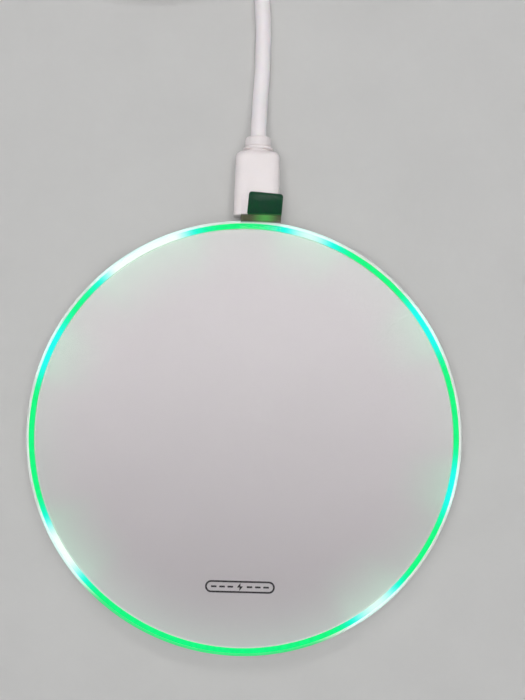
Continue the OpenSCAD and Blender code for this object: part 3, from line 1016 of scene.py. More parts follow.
@dataclass(frozen=True)
class Litz:
    """Enamelled copper strands, twisted: a fine helix of light and dark along the wire."""

    name: str
    colour: Colour
    lay: float

    def material(self) -> bpy.types.Material:
        """Builds the material: strands from the wire's UV, with painted shade in the gaps between
        them.

        Returns:
            The material.
        """
        n = Nodes(self.name)
        u, v, _ = n.parts(n.along)
        phase = n.math("MULTIPLY_ADD", u, TURN / self.lay, n.math("MULTIPLY", v, 7 * TURN))
        strand = n.math("MULTIPLY_ADD", n.math("SINE", phase), 0.5, 0.5)
        # the colour darkens where the strand pattern is low, between strands: painted shade
        n.join(n.mix(strand, shade(self.colour, 0.35), self.colour),
               n.shader.inputs["Base Color"])
        n.join(n.bump(strand, 0.00005, 0.8), n.shader.inputs["Normal"])
        n.join(n.spread(n.noise(900.0), 0.22, 0.38), n.shader.inputs["Roughness"])
        n.constant(Metallic=0.85, Coat_Weight=0.5, Coat_Roughness=0.1)
        return n.material


@dataclass(frozen=True)
class SolderMask:
    """A circuit board's green mask with copper tracks under it."""

    name: str
    colour: Colour

    def material(self) -> bpy.types.Material:
        """Builds the material: a staggered brick pattern's joints as raised, paler tracks.

        Returns:
            The material.
        """
        n = Nodes(self.name)
        bricks = n.add("ShaderNodeTexBrick", offset=0.37, offset_frequency=2, squash=0.45,
                       squash_frequency=3)
        n.join(n.point, bricks.inputs["Vector"])
        for socket, value in (("Scale", 1.0), ("Mortar Size", 0.09 * MM), ("Mortar Smooth", 0.3),
                              ("Brick Width", 4.1 * MM), ("Row Height", 1.3 * MM)):
            bricks.inputs[socket].default_value = value
        track = bricks.outputs["Fac"]
        n.join(n.mix(track, self.colour, shade(self.colour, 2.4)), n.shader.inputs["Base Color"])
        n.join(n.bump(track, 0.00003), n.shader.inputs["Normal"])
        n.join(n.spread(n.noise(500.0), 0.25, 0.4), n.shader.inputs["Roughness"])
        n.constant(Coat_Weight=0.3, Coat_Roughness=0.1)
        return n.material


@dataclass(frozen=True)
class Woven:
    """A hook-and-loop strap's pile: fine crossed threads with a soft sheen."""

    name: str
    colour: Colour

    def material(self) -> bpy.types.Material:
        """Builds the material: crossed sine waves of the strap's own coordinates, with painted
        shade in their lows.

        Returns:
            The material.
        """
        n = Nodes(self.name)
        x, y, z = n.parts(n.point)
        across = n.math("SINE", n.math("MULTIPLY", x, TURN / (0.5 * MM)))
        length = n.math("ADD", y, z)
        down = n.math("SINE", n.math("MULTIPLY", length, TURN / (0.5 * MM)))
        weave = n.math("MULTIPLY_ADD", n.math("MULTIPLY", across, down), 0.5, 0.5)
        fuzz = n.noise(3000.0, 4.0, 0.7)
        height = n.math("MULTIPLY_ADD", fuzz, 0.6, weave)
        # darker where the weave is low and lighter where it is high: painted shade and painted
        # highlight
        n.join(n.mix(n.span(height, 0.3, 1.3, 0.0, 1.0), shade(self.colour, 0.6),
                     shade(self.colour, 1.2)), n.shader.inputs["Base Color"])
        n.join(n.bump(height, 0.00012), n.shader.inputs["Normal"])
        n.join(n.spread(fuzz, 0.7, 0.95), n.shader.inputs["Roughness"])
        n.constant(Sheen_Weight=0.4, Sheen_Roughness=0.5)
        return n.material


Finish = (Moulded | Plated | LitGuide | PanelGloss | ShellWhite | ClearSheet | TabGreen
          | Jacket | Litz | SolderMask | Woven)


@dataclass
class Wardrobe:
    """Every finish in use, each made into a material once."""

    made: dict[str, bpy.types.Material] = field(default_factory=dict)

    def dress(self, piece: bpy.types.Object, finish: Finish) -> None:
        """Gives a piece one finish on all its faces.

        Args:
            piece: The piece.
            finish: Its finish.
        """
        if finish.name not in self.made:
            self.made[finish.name] = finish.material()
        piece.data.materials.clear()
        piece.data.materials.append(self.made[finish.name])

    def dress_node(self, node: str, finish: Finish) -> None:
        """Gives a CAD node a finish through its material slots, its mesh untouched.

        Args:
            node: The node's name.
            finish: Its finish.
        """
        if finish.name not in self.made:
            self.made[finish.name] = finish.material()
        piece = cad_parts[node]
        for slot in piece.material_slots:
            slot.material = self.made[finish.name]
        LOG.info("%s keeps its CAD shape, in %s", node, finish.name)


WARDROBE = Wardrobe()


def settle(piece: bpy.types.Object, finish: Finish, body: Body, slot: str,
           *stands_for: str) -> bpy.types.Object:
    """Finishes a new piece: its material, its body and the nodes it replaces.

    Args:
        piece: The piece, in place.
        finish: Its finish.
        body: The body that it rides on.
        slot: Not used; the record's material slot.
        stands_for: The CAD nodes that it replaces.

    Returns:
        The same piece.
    """
    WARDROBE.dress(piece, finish)
    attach(piece, body.value)
    if stands_for:
        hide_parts(*stands_for)
    LOG.info("%s: %d faces, rides on %s", piece.name, len(piece.data.polygons), body.value)
    return piece


def corners(node: str) -> tuple[np.ndarray, np.ndarray]:
    """A CAD node's lowest and highest corner as arrays.

    Args:
        node: The node's name.

    Returns:
        The two corners.
    """
    low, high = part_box(node)
    return np.array(low), np.array(high)


# ---------------------------------------------------------------- sub-assemblies


@dataclass
class Pad:
    """The round pad: shell, foot ring, label, lit ring, panel and printed mark."""

    columns: int = 360
    dish: float = 5.5 * MM
    wall: float = 1.2 * MM
    rim_width: float = 0.65 * MM
    ledge: float = 6.9 * MM
    groove: float = 0.4 * MM
    skirt_width: float = 0.8 * MM
    bevel: float = 0.15 * MM
    port: tuple[float, float] = (8.5 * MM, 3.3 * MM)
    screw_circle: float = 38 * MM
    screw_angles: tuple[float, ...] = (8.5, 98.5, 188.5, 278.5)
    screw_head: float = 4 * MM
    screw_bore: float = 2.2 * MM
    screw_seat: float = 1.7 * MM
    foot_width: float = 8 * MM
    fit_gap: float = 0.05 * MM
    skirt_inset: float = 2.3 * MM
    lip: float = 0.3 * MM
    rib_depth: float = 0.06 * MM
    line_width: float = 0.42 * MM
    dash_length: float = 1.3 * MM
    dash_start: float = 2.2 * MM
    dash_pitch: float = 1.9 * MM
    bolt_share: float = 0.34
    radius: float = field(init=False)
    underside: float = field(init=False)
    rim: float = field(init=False)
    panel_radius: float = field(init=False)
    panel_low: float = field(init=False)
    panel_top: float = field(init=False)
    socket: tuple[float, float, float] = field(init=False)

    def __post_init__(self) -> None:
        """Reads the driving sizes from the frame."""
        low, high = corners("base_shell")
        self.radius = (high[0] - low[0]) / 2
        self.underside, self.rim = low[2], high[2]
        low, high = corners("top_panel")
        self.panel_radius = (high[0] - low[0]) / 2
        self.panel_low, self.panel_top = low[2], high[2]
        low, high = corners("socket_shell")
        self.socket = ((low[0] + high[0]) / 2, high[1], (low[2] + high[2]) / 2)

    def shell(self) -> None:
        """The dished shell: a lathe of floor, dish, lip and ledge, with port and screw holes."""
        floor = self.underside + self.wall
        _, foot_high = corners("foot_ring")
        outer, inner, gap = foot_high[0], foot_high[0] - self.foot_width, self.fit_gap
        dish_x, dish_z = self.radius - self.dish, self.underside + self.dish
        under = rounded([(4 * MM, self.underside), (inner - gap, self.underside),
                         (inner - gap, self.underside + self.groove),
                         (outer + gap, self.underside + self.groove),
                         (outer + gap, self.underside), (dish_x, self.underside)],
                        0.12 * MM, 4, closed=False)
        lip = self.lip
        profile = np.vstack([
            under, arc((dish_x, dish_z), self.dish, -89, 0, 22),
            arc((self.radius - lip, self.rim - lip), lip, 0, 90, 6),
            rounded([(self.radius - lip, self.rim), (self.radius - self.rim_width, self.rim),
                     (self.radius - self.rim_width, self.ledge),
                     (self.radius - self.wall, self.ledge), (self.radius - self.wall, dish_z)],
                    0.08 * MM, 3, closed=False)[1:],
            arc((dish_x, dish_z), self.dish - self.wall, -4, -90, 12), [(4 * MM, floor)],
        ])
        piece = Form().loft(lathe(profile, self.columns)).make("shell")
        carve(piece, self.holes())
        settle(piece, ShellWhite("shell white", (0.80, 0.81, 0.80), self.rim, self.rim - 2.2 * MM,
                                 self.radius), Body.PAD, "white_shell", "base_shell")

    def tunnel(self, outline: np.ndarray, start: float, end: float,
               drop: float = 0.0) -> np.ndarray:
        """A straight block along +Y through the socket's middle, with the outline's section.

        Args:
            outline: The section, in x and z.
            start: Where it begins along Y.
            end: Where it ends.
            drop: How far its middle lies below the socket's.

        Returns:
            Rows for Form.loft.
        """
        y = np.array([start, end])[:, None]
        x = np.broadcast_to(outline[:, 0] + self.socket[0], (2, len(outline)))
        z = np.broadcast_to(outline[:, 1] + self.socket[2] - drop, (2, len(outline)))
        return np.stack([x, y + 0 * x, z], axis=2)

    def holes(self) -> Form:
        """The cutter for the shell: the plug's port and the stepped screw holes.

        Returns:
            The closed blocks to take away.
        """
        width, height = self.port
        port = box_outline(width, height, height / 2, 10)
        cutter = Form().loft(self.tunnel(port, self.radius - 8 * MM, self.radius + MM))
        head, shank, seat = self.screw_head / 2, self.screw_bore / 2, self.screw_seat
        steps = np.array([(head, -0.2 * MM), (head, seat - 1e-5), (shank, seat),
                          (shank, 2.4 * MM)])
        for angle in self.screw_angles:
            a = math.radians(angle)
            centre = (self.screw_circle * math.cos(a), self.screw_circle * math.sin(a), 0.0)
            cutter.loft(lathe(steps, 40) + np.array(centre))
        return cutter

    def foot(self) -> None:
        """The rubber foot ring: a lathe with a finely ribbed underside."""
        low, high = corners("foot_ring")
        outer, inner = high[0], high[0] - self.foot_width
        ribs = np.linspace(inner + 0.6 * MM, outer - 0.6 * MM, 61)
        wave = low[2] + self.rib_depth * (1 - np.cos(np.linspace(0, 20 * math.pi, 61)))
        top = [(outer, low[2] + 0.2 * MM), (outer, high[2]), (inner, high[2]),
               (inner, low[2] + 0.2 * MM)]
        profile = np.vstack([np.stack([ribs, wave], axis=1), top])
        piece = Form().loft(lathe(profile, 240), ring=True).make("rubber_foot")
        settle(piece, Moulded("foot rubber", (0.16, 0.165, 0.17), 0.75, 1800, 0.00004, 0.12),
               Body.PAD, "foot_rubber", "foot_ring")

    def guide(self) -> None:
        """The light guide: a skirt before the lights, and the ring that shows."""
        low, high = corners("light_guide")
        outer = self.radius - self.rim_width - self.fit_gap
        inner = self.panel_radius + self.fit_gap
        skirt = self.radius - self.skirt_inset
        top, crown = high[2], 0.1 * MM
        profile = rounded([
            (skirt - self.skirt_width, low[2]), (skirt, low[2]), (skirt, self.ledge - 0.5 * MM),
            (skirt + 0.9 * MM, self.ledge), (outer, self.ledge), (outer, top - crown),
            (outer - crown, top), (inner, top), (inner, self.panel_low),
            (skirt - self.skirt_width, self.panel_low)], 0.12 * MM, 5)
        piece = Form().loft(lathe(profile, self.columns), ring=True).make("lit_ring")
        notch = box_outline(self.port[0], 3.6 * MM, 0.2 * MM, 4)
        carve(piece, Form().loft(self.tunnel(notch, 40 * MM, self.radius, 0.15 * MM)))
        settle(piece, LitGuide("lit ring"), Body.PAD, "light_ring", "light_guide")

    def panel(self) -> None:
        """The glossy panel: a flat disc with a small polished bevel."""
        r, b = self.panel_radius, self.bevel
        edge = rounded([(r - 3 * MM, self.panel_low), (r, self.panel_low),
                        (r, self.panel_top - b), (r - b, self.panel_top),
                        (r - 3 * MM, self.panel_top)], 0.08 * MM, 5, closed=False)
        piece = Form().loft(lathe(edge, self.columns)).make("panel")
        settle(piece, PanelGloss("panel gloss", (0.495, 0.474, 0.479), r, 16 * MM),
               Body.PAD, "panel", "top_panel")

    def mark(self) -> None:
        """The printed mark: a pill-shaped line, with a bolt and plain dashes inside it."""
        low, high = corners("printed_mark")
        centre = (low + high) / 2
        size = high - low
        line, lift, sink = self.line_width, 0.02 * MM, 0.05 * MM

        def layer(outline: np.ndarray, z: float) -> np.ndarray:
            """One row of points at a height, moved to the mark's middle.

            Args:
                outline: The row in plan, centred on the origin.
                z: Its height.

            Returns:
                The row's points.
            """
            flat = np.full((len(outline), 1), z)
            return np.hstack([outline + centre[:2], flat])

        outer = box_outline(size[0], size[1], size[1] / 2, 24)
        inner = box_outline(size[0] - 2 * line, size[1] - 2 * line, size[1] / 2 - line, 24)
        bottom, top = high[2] - sink, high[2] + lift
        form = Form().loft(np.stack([layer(outer, bottom), layer(outer, top),
                                     layer(inner, top), layer(inner, bottom)]), ring=True)
        h = self.bolt_share * size[1]
        bolt = rounded([(0.15 * h, h), (-0.75 * h, -0.15 * h), (-0.1 * h, -0.15 * h),
                        (-0.15 * h, -h), (0.75 * h, 0.15 * h), (0.1 * h, 0.15 * h)],
                       0.04 * MM, 3)
        form.loft(np.stack([layer(bolt, bottom), layer(bolt, top)]))
        for side in (-1, 1):
            for k in range(3):
                dash = box_outline(self.dash_length, line, 0.12 * MM, 5)
                dash = dash + np.array([side * (self.dash_start + self.dash_pitch * k), 0.0])
                form.loft(np.stack([layer(dash, bottom), layer(dash, top)]))
        piece = form.make("mark")
        settle(piece, Moulded("printed ink", (0.035, 0.033, 0.036), 0.5, 5000, 0.00001, 0.2,
                              shine=0.1),
               Body.PAD, "ink", "printed_mark")

    def build(self) -> None:
        """Makes the pad's pieces, and dresses the blank label."""
        self.shell()
        self.foot()
        self.guide()
        self.panel()
        self.mark()
        WARDROBE.dress_node("rating_label", Moulded("label", (0.46, 0.47, 0.48), 0.45, 1200))


@dataclass
class Film:
    """The peel-off film with its clear tongue, and the green tab under the tongue's end."""

    drape: Drape = Drape(49.3 * MM, 3.0 * MM, 0.33 * MM, 54.6 * MM, 0.05 * MM)
    tongue_corner: float = 0.8 * MM
    tab_size: tuple[float, float] = (7.9 * MM, 5.6 * MM)
    tab_corner: float = 0.7 * MM
    tab_turn: float = -4.0
    tongue: tuple[float, float] = (-2.0 * MM, 7.2 * MM)
    thickness: float = 0.065 * MM
    tab_thickness: float = 0.1 * MM
    tab_drop: float = 0.07 * MM
    gum_length: float = 0.5 * MM
    lit_root: float = 1.3 * MM
    low: np.ndarray = field(init=False)
    high: np.ndarray = field(init=False)
    tab_low: np.ndarray = field(init=False)
    tab_high: np.ndarray = field(init=False)
    radius: float = field(init=False)
    tab_middle: float = field(init=False)
    pad_radius: float = field(init=False)

    def __post_init__(self) -> None:
        """Reads the film's and the tab's boxes from the frame."""
        self.low, self.high = corners("protective_film")
        self.tab_low, self.tab_high = corners("pull_tab")
        self.radius = (self.high[0] - self.low[0]) / 2
        self.tab_middle = float(self.tab_low[0] + self.tab_high[0]) / 2
        self.pad_radius = float(corners("base_shell")[1][0])

    def sheet(self) -> None:
        """The film: a disc's outline that runs out into the tongue's, shrunk in rings.

        The disc's arc runs from the tongue's left side all the way round to its right side, and
        a side at x meets it at the angle whose cosine is x over the radius.
        """
        left, right = self.tongue
        start = math.degrees(math.acos(left / self.radius))
        end = 360 + math.degrees(math.acos(right / self.radius))
        around = arc((0.0, 0.0), self.radius, start, end, 330)
        foot_right = (right, around[-1, 1])
        foot_left = (left, around[0, 1])
        tip = self.high[1]
        side = rounded([foot_right, (right, tip), (left, tip), foot_left],
                       self.tongue_corner, 9, closed=False)
        side = spaced(side, 0.4 * MM)
        outline = np.vstack([around, side[1:-1]])
        shares = [0.02, 0.3, 0.6, 0.8, 0.84, 0.857, 0.87, 0.885, 0.9, 0.915, 0.93, 0.945, 0.96,
                  0.975, 0.99, 1.0]
        rows = slab(outline, (0.0, 0.0), shares, self.high[2], self.thickness, self.drape)
        piece = Form().loft(rows).make("film")
        settle(piece, ClearSheet("clear film", (0.985, 0.98, 0.985), 0.7, self.pad_radius,
                                 (self.tab_middle, self.tab_low[1] + self.gum_length)), Body.FILM,
               "clear_film", "protective_film")

    def tab(self) -> None:
        """The green tab: a rounded rectangle bonded under the tongue, draped with it."""
        middle = (self.tab_low + self.tab_high) / 2
        turn = math.radians(self.tab_turn)
        outline = spaced(box_outline(*self.tab_size, self.tab_corner, 8), 0.3 * MM, closed=True)
        turned = np.array([[math.cos(turn), math.sin(turn)], [-math.sin(turn), math.cos(turn)]])
        outline = outline @ turned + middle[:2]
        shares = [0.05, 0.2, 0.4, 0.6, 0.75, 0.88, 0.96, 1.0]
        rows = slab(outline, (middle[0], middle[1]), shares, self.high[2] - self.tab_drop,
                    self.tab_thickness, self.drape)
        piece = Form().loft(rows).make("tab")
        settle(piece, TabGreen("tab green", (0.0045, 0.050, 0.022), (0.014, 0.22, 0.042),
                               self.tab_low[1], self.lit_root), Body.FILM, "green_tab",
               "pull_tab")

    def build(self) -> None:
        """Makes the film and its tab."""
        self.sheet()
        self.tab()


SOFT_WHITE = Moulded("lead moulding", (0.89, 0.83, 0.83), 0.42, 2200, 0.00002, 0.04, 0.0, 0.15)
STEEL = Plated("nickel steel", (0.62, 0.62, 0.63), 0.24)
GOLD = Plated("gold plate", (0.83, 0.62, 0.25), 0.2)
BLACK = Moulded("black insulator", (0.025, 0.025, 0.027), 0.45)


@dataclass
class Plug:
    """What the lead's two plugs share: where the grip and its strain relief lie."""

    grip_node: str
    relief_node: str
    low: np.ndarray = field(init=False)
    high: np.ndarray = field(init=False)
    middle: np.ndarray = field(init=False)
    relief_low: np.ndarray = field(init=False)
    relief_high: np.ndarray = field(init=False)

    def __post_init__(self) -> None:
        """Reads the grip's and the relief's boxes from the frame."""
        self.low, self.high = corners(self.grip_node)
        self.middle = (self.low + self.high) / 2
        self.relief_low, self.relief_high = corners(self.relief_node)


@dataclass
class SmallPlug(Plug):
    """The small plug: a soft white grip, its stepped strain relief and its metal nose."""

    grip_node: str = "plug_grip"
    relief_node: str = "strain_relief"
    section: float = 4.5
    rear_corner: float = 1.6 * MM
    front_edge: float = 0.3 * MM
    seam: float = 0.03 * MM
    seam_spread: float = 0.03
    taper: float = 0.05
    neck: float = 2.85 * MM
    barrel: float = 3.05 * MM

    def grip(self) -> bpy.types.Object:
        """The grip: superellipses along Y that shrink over round edges at both ends.

        A row at distance y from an end with edge e is smaller by e - sqrt(e^2 - (e - y)^2) on
        every side, and each row is |x/w|^n + |z/h|^n = 1.

        Returns:
            The grip.
        """
        length = self.high[1] - self.low[1]
        half_w, half_h = (self.high[0] - self.low[0]) / 2, (self.high[2] - self.low[2]) / 2
        ease = 1 - np.cos(np.linspace(0, math.pi / 2, 12))
        y = np.unique(np.r_[self.front_edge * ease, np.linspace(self.front_edge, length
                            - self.rear_corner, 20), length - self.rear_corner * ease])
        front = np.clip(self.front_edge - y, 0, None)
        rear = np.clip(y - (length - self.rear_corner), 0, None)
        inset_front = self.front_edge - np.sqrt(self.front_edge**2 - front**2)
        inset_rear = self.rear_corner - np.sqrt(np.clip(self.rear_corner**2 - rear**2, 0, None))
        a = np.linspace(0, TURN, 96, endpoint=False)
        x = np.sign(np.cos(a)) * np.abs(np.cos(a)) ** (2 / self.section)
        z = np.sign(np.sin(a)) * np.abs(np.sin(a)) ** (2 / self.section)
        flare = 1.005 - self.taper * y / length
        w = (half_w * flare - inset_front - inset_rear)[:, None]
        h = (half_h - inset_front - 0.8 * inset_rear)[:, None]
        groove = 1 - self.seam / half_w * np.exp(-(z / self.seam_spread) ** 2)
        rows = np.stack([self.middle[0] + w * x * groove, self.low[1] + y[:, None] + 0 * a,
                         self.middle[2] + h * z], axis=2)
        piece = Form().loft(rows).make("grip")
        return settle(piece, SOFT_WHITE, Body.LEAD, "lead_white", "plug_grip")

    def relief(self) -> bpy.types.Object:
        """The stepped strain relief: a lathe of neck, flange, tapered barrel and round end.

        Returns:
            The relief.
        """
        long = self.relief_high[1] - self.relief_low[1]
        flange = (self.relief_high[0] - self.relief_low[0]) / 2
        neck, bore = self.neck, 0.6 * MM
        profile = rounded([
            (bore, -0.3 * MM), (neck, -0.3 * MM), (neck, 0.32 * MM),
            (flange, 0.38 * MM), (flange, 0.95 * MM), (neck, 1.0 * MM),
            (neck, 1.25 * MM), (self.barrel, 1.35 * MM), (self.barrel - 0.1 * MM, long),
            (bore, long)], [0, 0.1 * MM, 0.08 * MM, 0.25 * MM, 0.25 * MM, 0.08 * MM,
                            0.08 * MM, 0.1 * MM, 0.9 * MM, 0], 7, closed=False)
        at = (self.middle[0], self.relief_low[1], self.middle[2])
        piece = Form().loft(upright_y(lathe(profile, 96), at)).make("relief")
        return settle(piece, SOFT_WHITE, Body.LEAD, "lead_white", "strain_relief")

    def build(self) -> list[bpy.types.Object]:
        """Makes the grip and relief, and dresses the metal nose.

        Returns:
            Every piece of the plug.
        """
        made = [self.grip(), self.relief()]
        for node, finish in (("plug_shell", STEEL), ("plug_latches", STEEL),
                             ("plug_insulator", BLACK), ("plug_contacts", GOLD)):
            WARDROBE.dress_node(node, finish)
            made.append(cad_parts[node])
        return made


@dataclass
class SupplyPlug(Plug):
    """The flat supply plug at the far end: tapered relief, ribbed grip, shell and tongue."""

    grip_node: str = "supply_grip"
    relief_node: str = "supply_relief"
    ribs: int = 5
    rib_depth: float = 0.28 * MM
    corner: float = 1.2 * MM
    rib_start: float = 0.35
    rib_run: float = 0.5
    tail: float = 2.45 * MM
    groove: float = 0.22 * MM
    tip_round: float = 0.3 * MM

    def grip(self) -> bpy.types.Object:
        """The grip: round-cornered sections along Y with ribs pressed into its flanks.

        A section at distance y from an end is smaller by e - sqrt(e^2 - (e - y)^2), with e the
        corner's radius, and over the middle the flanks sink by the depth times sin^2.

        Returns:
            The grip.
        """
        length = self.high[1] - self.low[1]
        half_w, half_h = (self.high[0] - self.low[0]) / 2, (self.high[2] - self.low[2]) / 2
        ease = 1 - np.cos(np.linspace(0, math.pi / 2, 10))
        y = np.unique(np.r_[self.corner * ease, np.linspace(self.corner, length - self.corner,
                            90), length - self.corner * ease])
        near = np.clip(self.corner - np.minimum(y, length - y), 0, None)
        inset = self.corner - np.sqrt(np.clip(self.corner**2 - near**2, 0, None))
        outline = box_outline(2.0, 2.0 * half_h / half_w, 0.5, 16) * half_w
        scale_w = (half_w - inset)[:, None] / half_w
        scale_h = (half_h - inset)[:, None] / half_h
        phase = (y / length - self.rib_start) / self.rib_run
        press = np.where((phase > 0) & (phase < 1), np.sin(math.pi * self.ribs * phase) ** 2, 0)
        flank = np.abs(outline[:, 0]) > 0.8 * half_w
        x = outline[:, 0] * scale_w - (np.sign(outline[:, 0]) * flank) * (
            self.rib_depth * press[:, None])
        z = outline[:, 1] * scale_h
        rows = np.stack([self.middle[0] + x, self.low[1] + y[:, None] + 0 * x,
                         self.middle[2] + z], axis=2)
        piece = Form().loft(rows).make("supply_plug_grip")
        return settle(piece, SOFT_WHITE, Body.LEAD, "lead_white", "supply_grip")

    def relief(self) -> bpy.types.Object:
        """The tapered relief: a lathe whose radius falls towards the cord, in soft steps.

        The radius falls in a straight line from the base to the cord's end, less sin^2 grooves.

        Returns:
            The relief.
        """
        long = self.relief_high[1] - self.relief_low[1]
        base = (self.relief_high[0] - self.relief_low[0]) / 2
        y = np.linspace(0, long - self.tip_round, 60)
        share = y / y[-1]
        radius = base - (base - self.tail) * share
        radius = radius - self.groove * np.sin(math.pi * 4 * share) ** 2 * (share > 0.12)
        body = np.stack([radius, y], axis=1)
        tip = arc((self.tail - self.tip_round, y[-1]), self.tip_round, 0, 90, 6)[1:]
        profile = np.vstack([[(0.6 * MM, -0.3 * MM), (base, -0.3 * MM)], body, tip,
                             [(0.6 * MM, long)]])
        at = (self.middle[0], self.relief_low[1], self.middle[2])
        piece = Form().loft(upright_y(lathe(profile, 72), at)).make("supply_plug_relief")
        return settle(piece, SOFT_WHITE, Body.LEAD, "lead_white", "supply_relief")

    def build(self) -> list[bpy.types.Object]:
        """Makes the grip and relief, and dresses the metal and the tongue.

        Returns:
            Every piece of the plug.
        """
        made = [self.grip(), self.relief()]
        for node, finish in (("supply_shell", STEEL), ("supply_contacts", GOLD),
                             ("supply_tongue", Moulded("supply tongue", (0.78, 0.78, 0.77)))):
            WARDROBE.dress_node(node, finish)
            made.append(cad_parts[node])
        return made


# route of the cord where it isn't coiled, in millimetres, as the CAD has it
CORD_ROUTE = (
    (1.5, 72, 4.6), (1.6, 75, 4.2), (1.7, 79, 3.3), (1.9, 83, 2.4), (2, 87, 1.9), (2, 91, 1.8),
    (2, 95, 1.8), (1.8, 99, 1.8), (1.5, 103, 1.8), (1.2, 107, 1.8), (1.1, 111, 1.8),
    (1, 115, 1.8), (1, 119, 1.8), (1, 124, 1.8),
)
TAIL_ROUTE = (
    (2.8, 138, 5.2), (2.8, 142, 4.6), (2.8, 146, 3.7), (2.8, 150, 2.8), (2.8, 154, 2.1),
    (2.8, 158, 1.8), (3.1, 162, 1.8), (4.5, 167, 1.8), (7.2, 170.6, 1.8), (12.1, 173.9, 1.8),
    (17.8, 175, 1.8), (23.5, 173.9, 1.8), (28.4, 170.6, 2), (31.1, 167, 2.6), (32.5, 162, 3.5),
    (32.8, 159, 3.8), (32.8, 156, 3.8),
)


@dataclass
class Cord:
    """The lead's cord: from the small plug, into a tied coil, and on to the supply plug."""

    diameter: float = 3.6 * MM
    centre: tuple[float, float] = (-23.6 * MM, 132 * MM)
    outside: float = 24.6 * MM
    turns_in: float = 2.5
    climb: float = 0.5
    turns_out: float = 3.0
    dip: float = 0.45 * MM
    waver: float = 0.1 * MM
    tie_thickness: float = 0.5 * MM
    tie_spread: float = 20.0
    tie_lap: int = 16

    def coil(self) -> np.ndarray:
        """The coil's centreline: in on the floor, up at the inside, and out on top.

        Over the first turns the radius falls by a diameter a turn. Over the climb it stays,
        less a slight dip that clears the last turn, while the height eases up by a diameter.
        Then it grows by a diameter a turn. Over the tie every turn is lifted by its thickness.

        Returns:
            The centreline's points.
        """
        d = self.diameter
        end = self.turns_in + self.climb + self.turns_out
        t = np.linspace(0, end, int(end * 60) + 1)
        down = np.clip(t, 0, self.turns_in)
        up = np.clip(t - self.turns_in - self.climb, 0, None)
        rise = np.clip((t - self.turns_in) / self.climb, 0, 1)
        radius = self.outside - d * down + d * up - self.dip * np.sin(math.pi * rise)
        radius = radius + self.waver * np.sin(7.3 * t) * np.sin(math.pi * t / end)
        from_tie = (np.degrees(t * TURN) - 90 + 180) % 360 - 180
        lift = self.tie_thickness * np.exp(-(from_tie / self.tie_spread) ** 2)
        z = d / 2 + d * smooth(rise) + lift
        x = self.centre[0] + radius * np.cos(t * TURN)
        y = self.centre[1] + radius * np.sin(t * TURN)
        return np.stack([x, y, z], axis=1)

    def build(self, exit_at: tuple[float, float, float],
              on_it: list[bpy.types.Object]) -> bpy.types.Object:
        """Args:
            exit_at: Where the cord leaves the small plug's strain relief.
            on_it: Not used; the pieces at its two ends and the tie.

        Returns:
            The cord.
        """
        first = np.vstack([np.array(exit_at), np.array(CORD_ROUTE) * MM])
        last = np.array(TAIL_ROUTE) * MM
        coil = self.coil()
        line = np.vstack([first, coil[::5], last])
        path = spaced(spline(line, 6), 1.3 * MM)
        path[:, 2] = np.maximum(path[:, 2], self.diameter / 2)
        round_it = arc((0.0, 0.0), self.diameter / 2, 0, 342, 20)
        piece = Form().loft(sweep(path, round_it)).make("lead_cord", 60)
        settle(piece, Jacket("cord jacket", (0.92, 0.875, 0.89), 9 * MM), Body.LEAD,
               "lead_white", "cord", "cord_coil", "cord_tail")
        return piece

    def tie(self) -> bpy.types.Object:
        """The strap round the coil: a flat band once round the bundle and a bit over itself.

        The band follows a rounded rectangle in the plane across the turns. Where it overlaps,
        from one full round on, it moves out by its own thickness.

        Returns:
            The strap.
        """
        low, high = corners("cable_tie")
        middle = (low + high) / 2
        t = self.tie_thickness
        size = high - low
        loop = box_outline(size[1] - 3.2 * t, size[2] - 3.5 * t, 1.4 * MM, 12)
        loop = np.roll(spaced(loop, 0.35 * MM, closed=True), -28, axis=0)
        line = np.vstack([loop, loop[:self.tie_lap]])
        ahead = np.gradient(line, axis=0)
        out = np.stack([ahead[:, 1], -ahead[:, 0]], axis=1)
        out /= np.linalg.norm(out, axis=1, keepdims=True)
        over = smooth((np.arange(len(line)) - len(loop) + 8) / 8)[:, None]
        base = line + out * (0.02 * MM + over * 1.04 * t)
        half = (high[0] - low[0]) / 2
        band = np.array([(-half, 0.0), (-half, t), (half, t), (half, 0.0)])
        band = rounded([tuple(p) for p in band], 0.12 * MM, 4)
        yz = base[:, None] + out[:, None] * band[None, :, 1:]
        x = np.broadcast_to(band[:, 0], yz.shape[:2])
        rows = np.stack([middle[0] + x, middle[1] + yz[..., 0], middle[2] + yz[..., 1]], axis=2)
        rows[..., 2] = np.maximum(rows[..., 2], low[2])
        piece = Form().loft(rows).make("strap")
        return settle(piece, Woven("strap pile", (0.42, 0.42, 0.43)), Body.LEAD, "tie_strap",
                      "cable_tie")


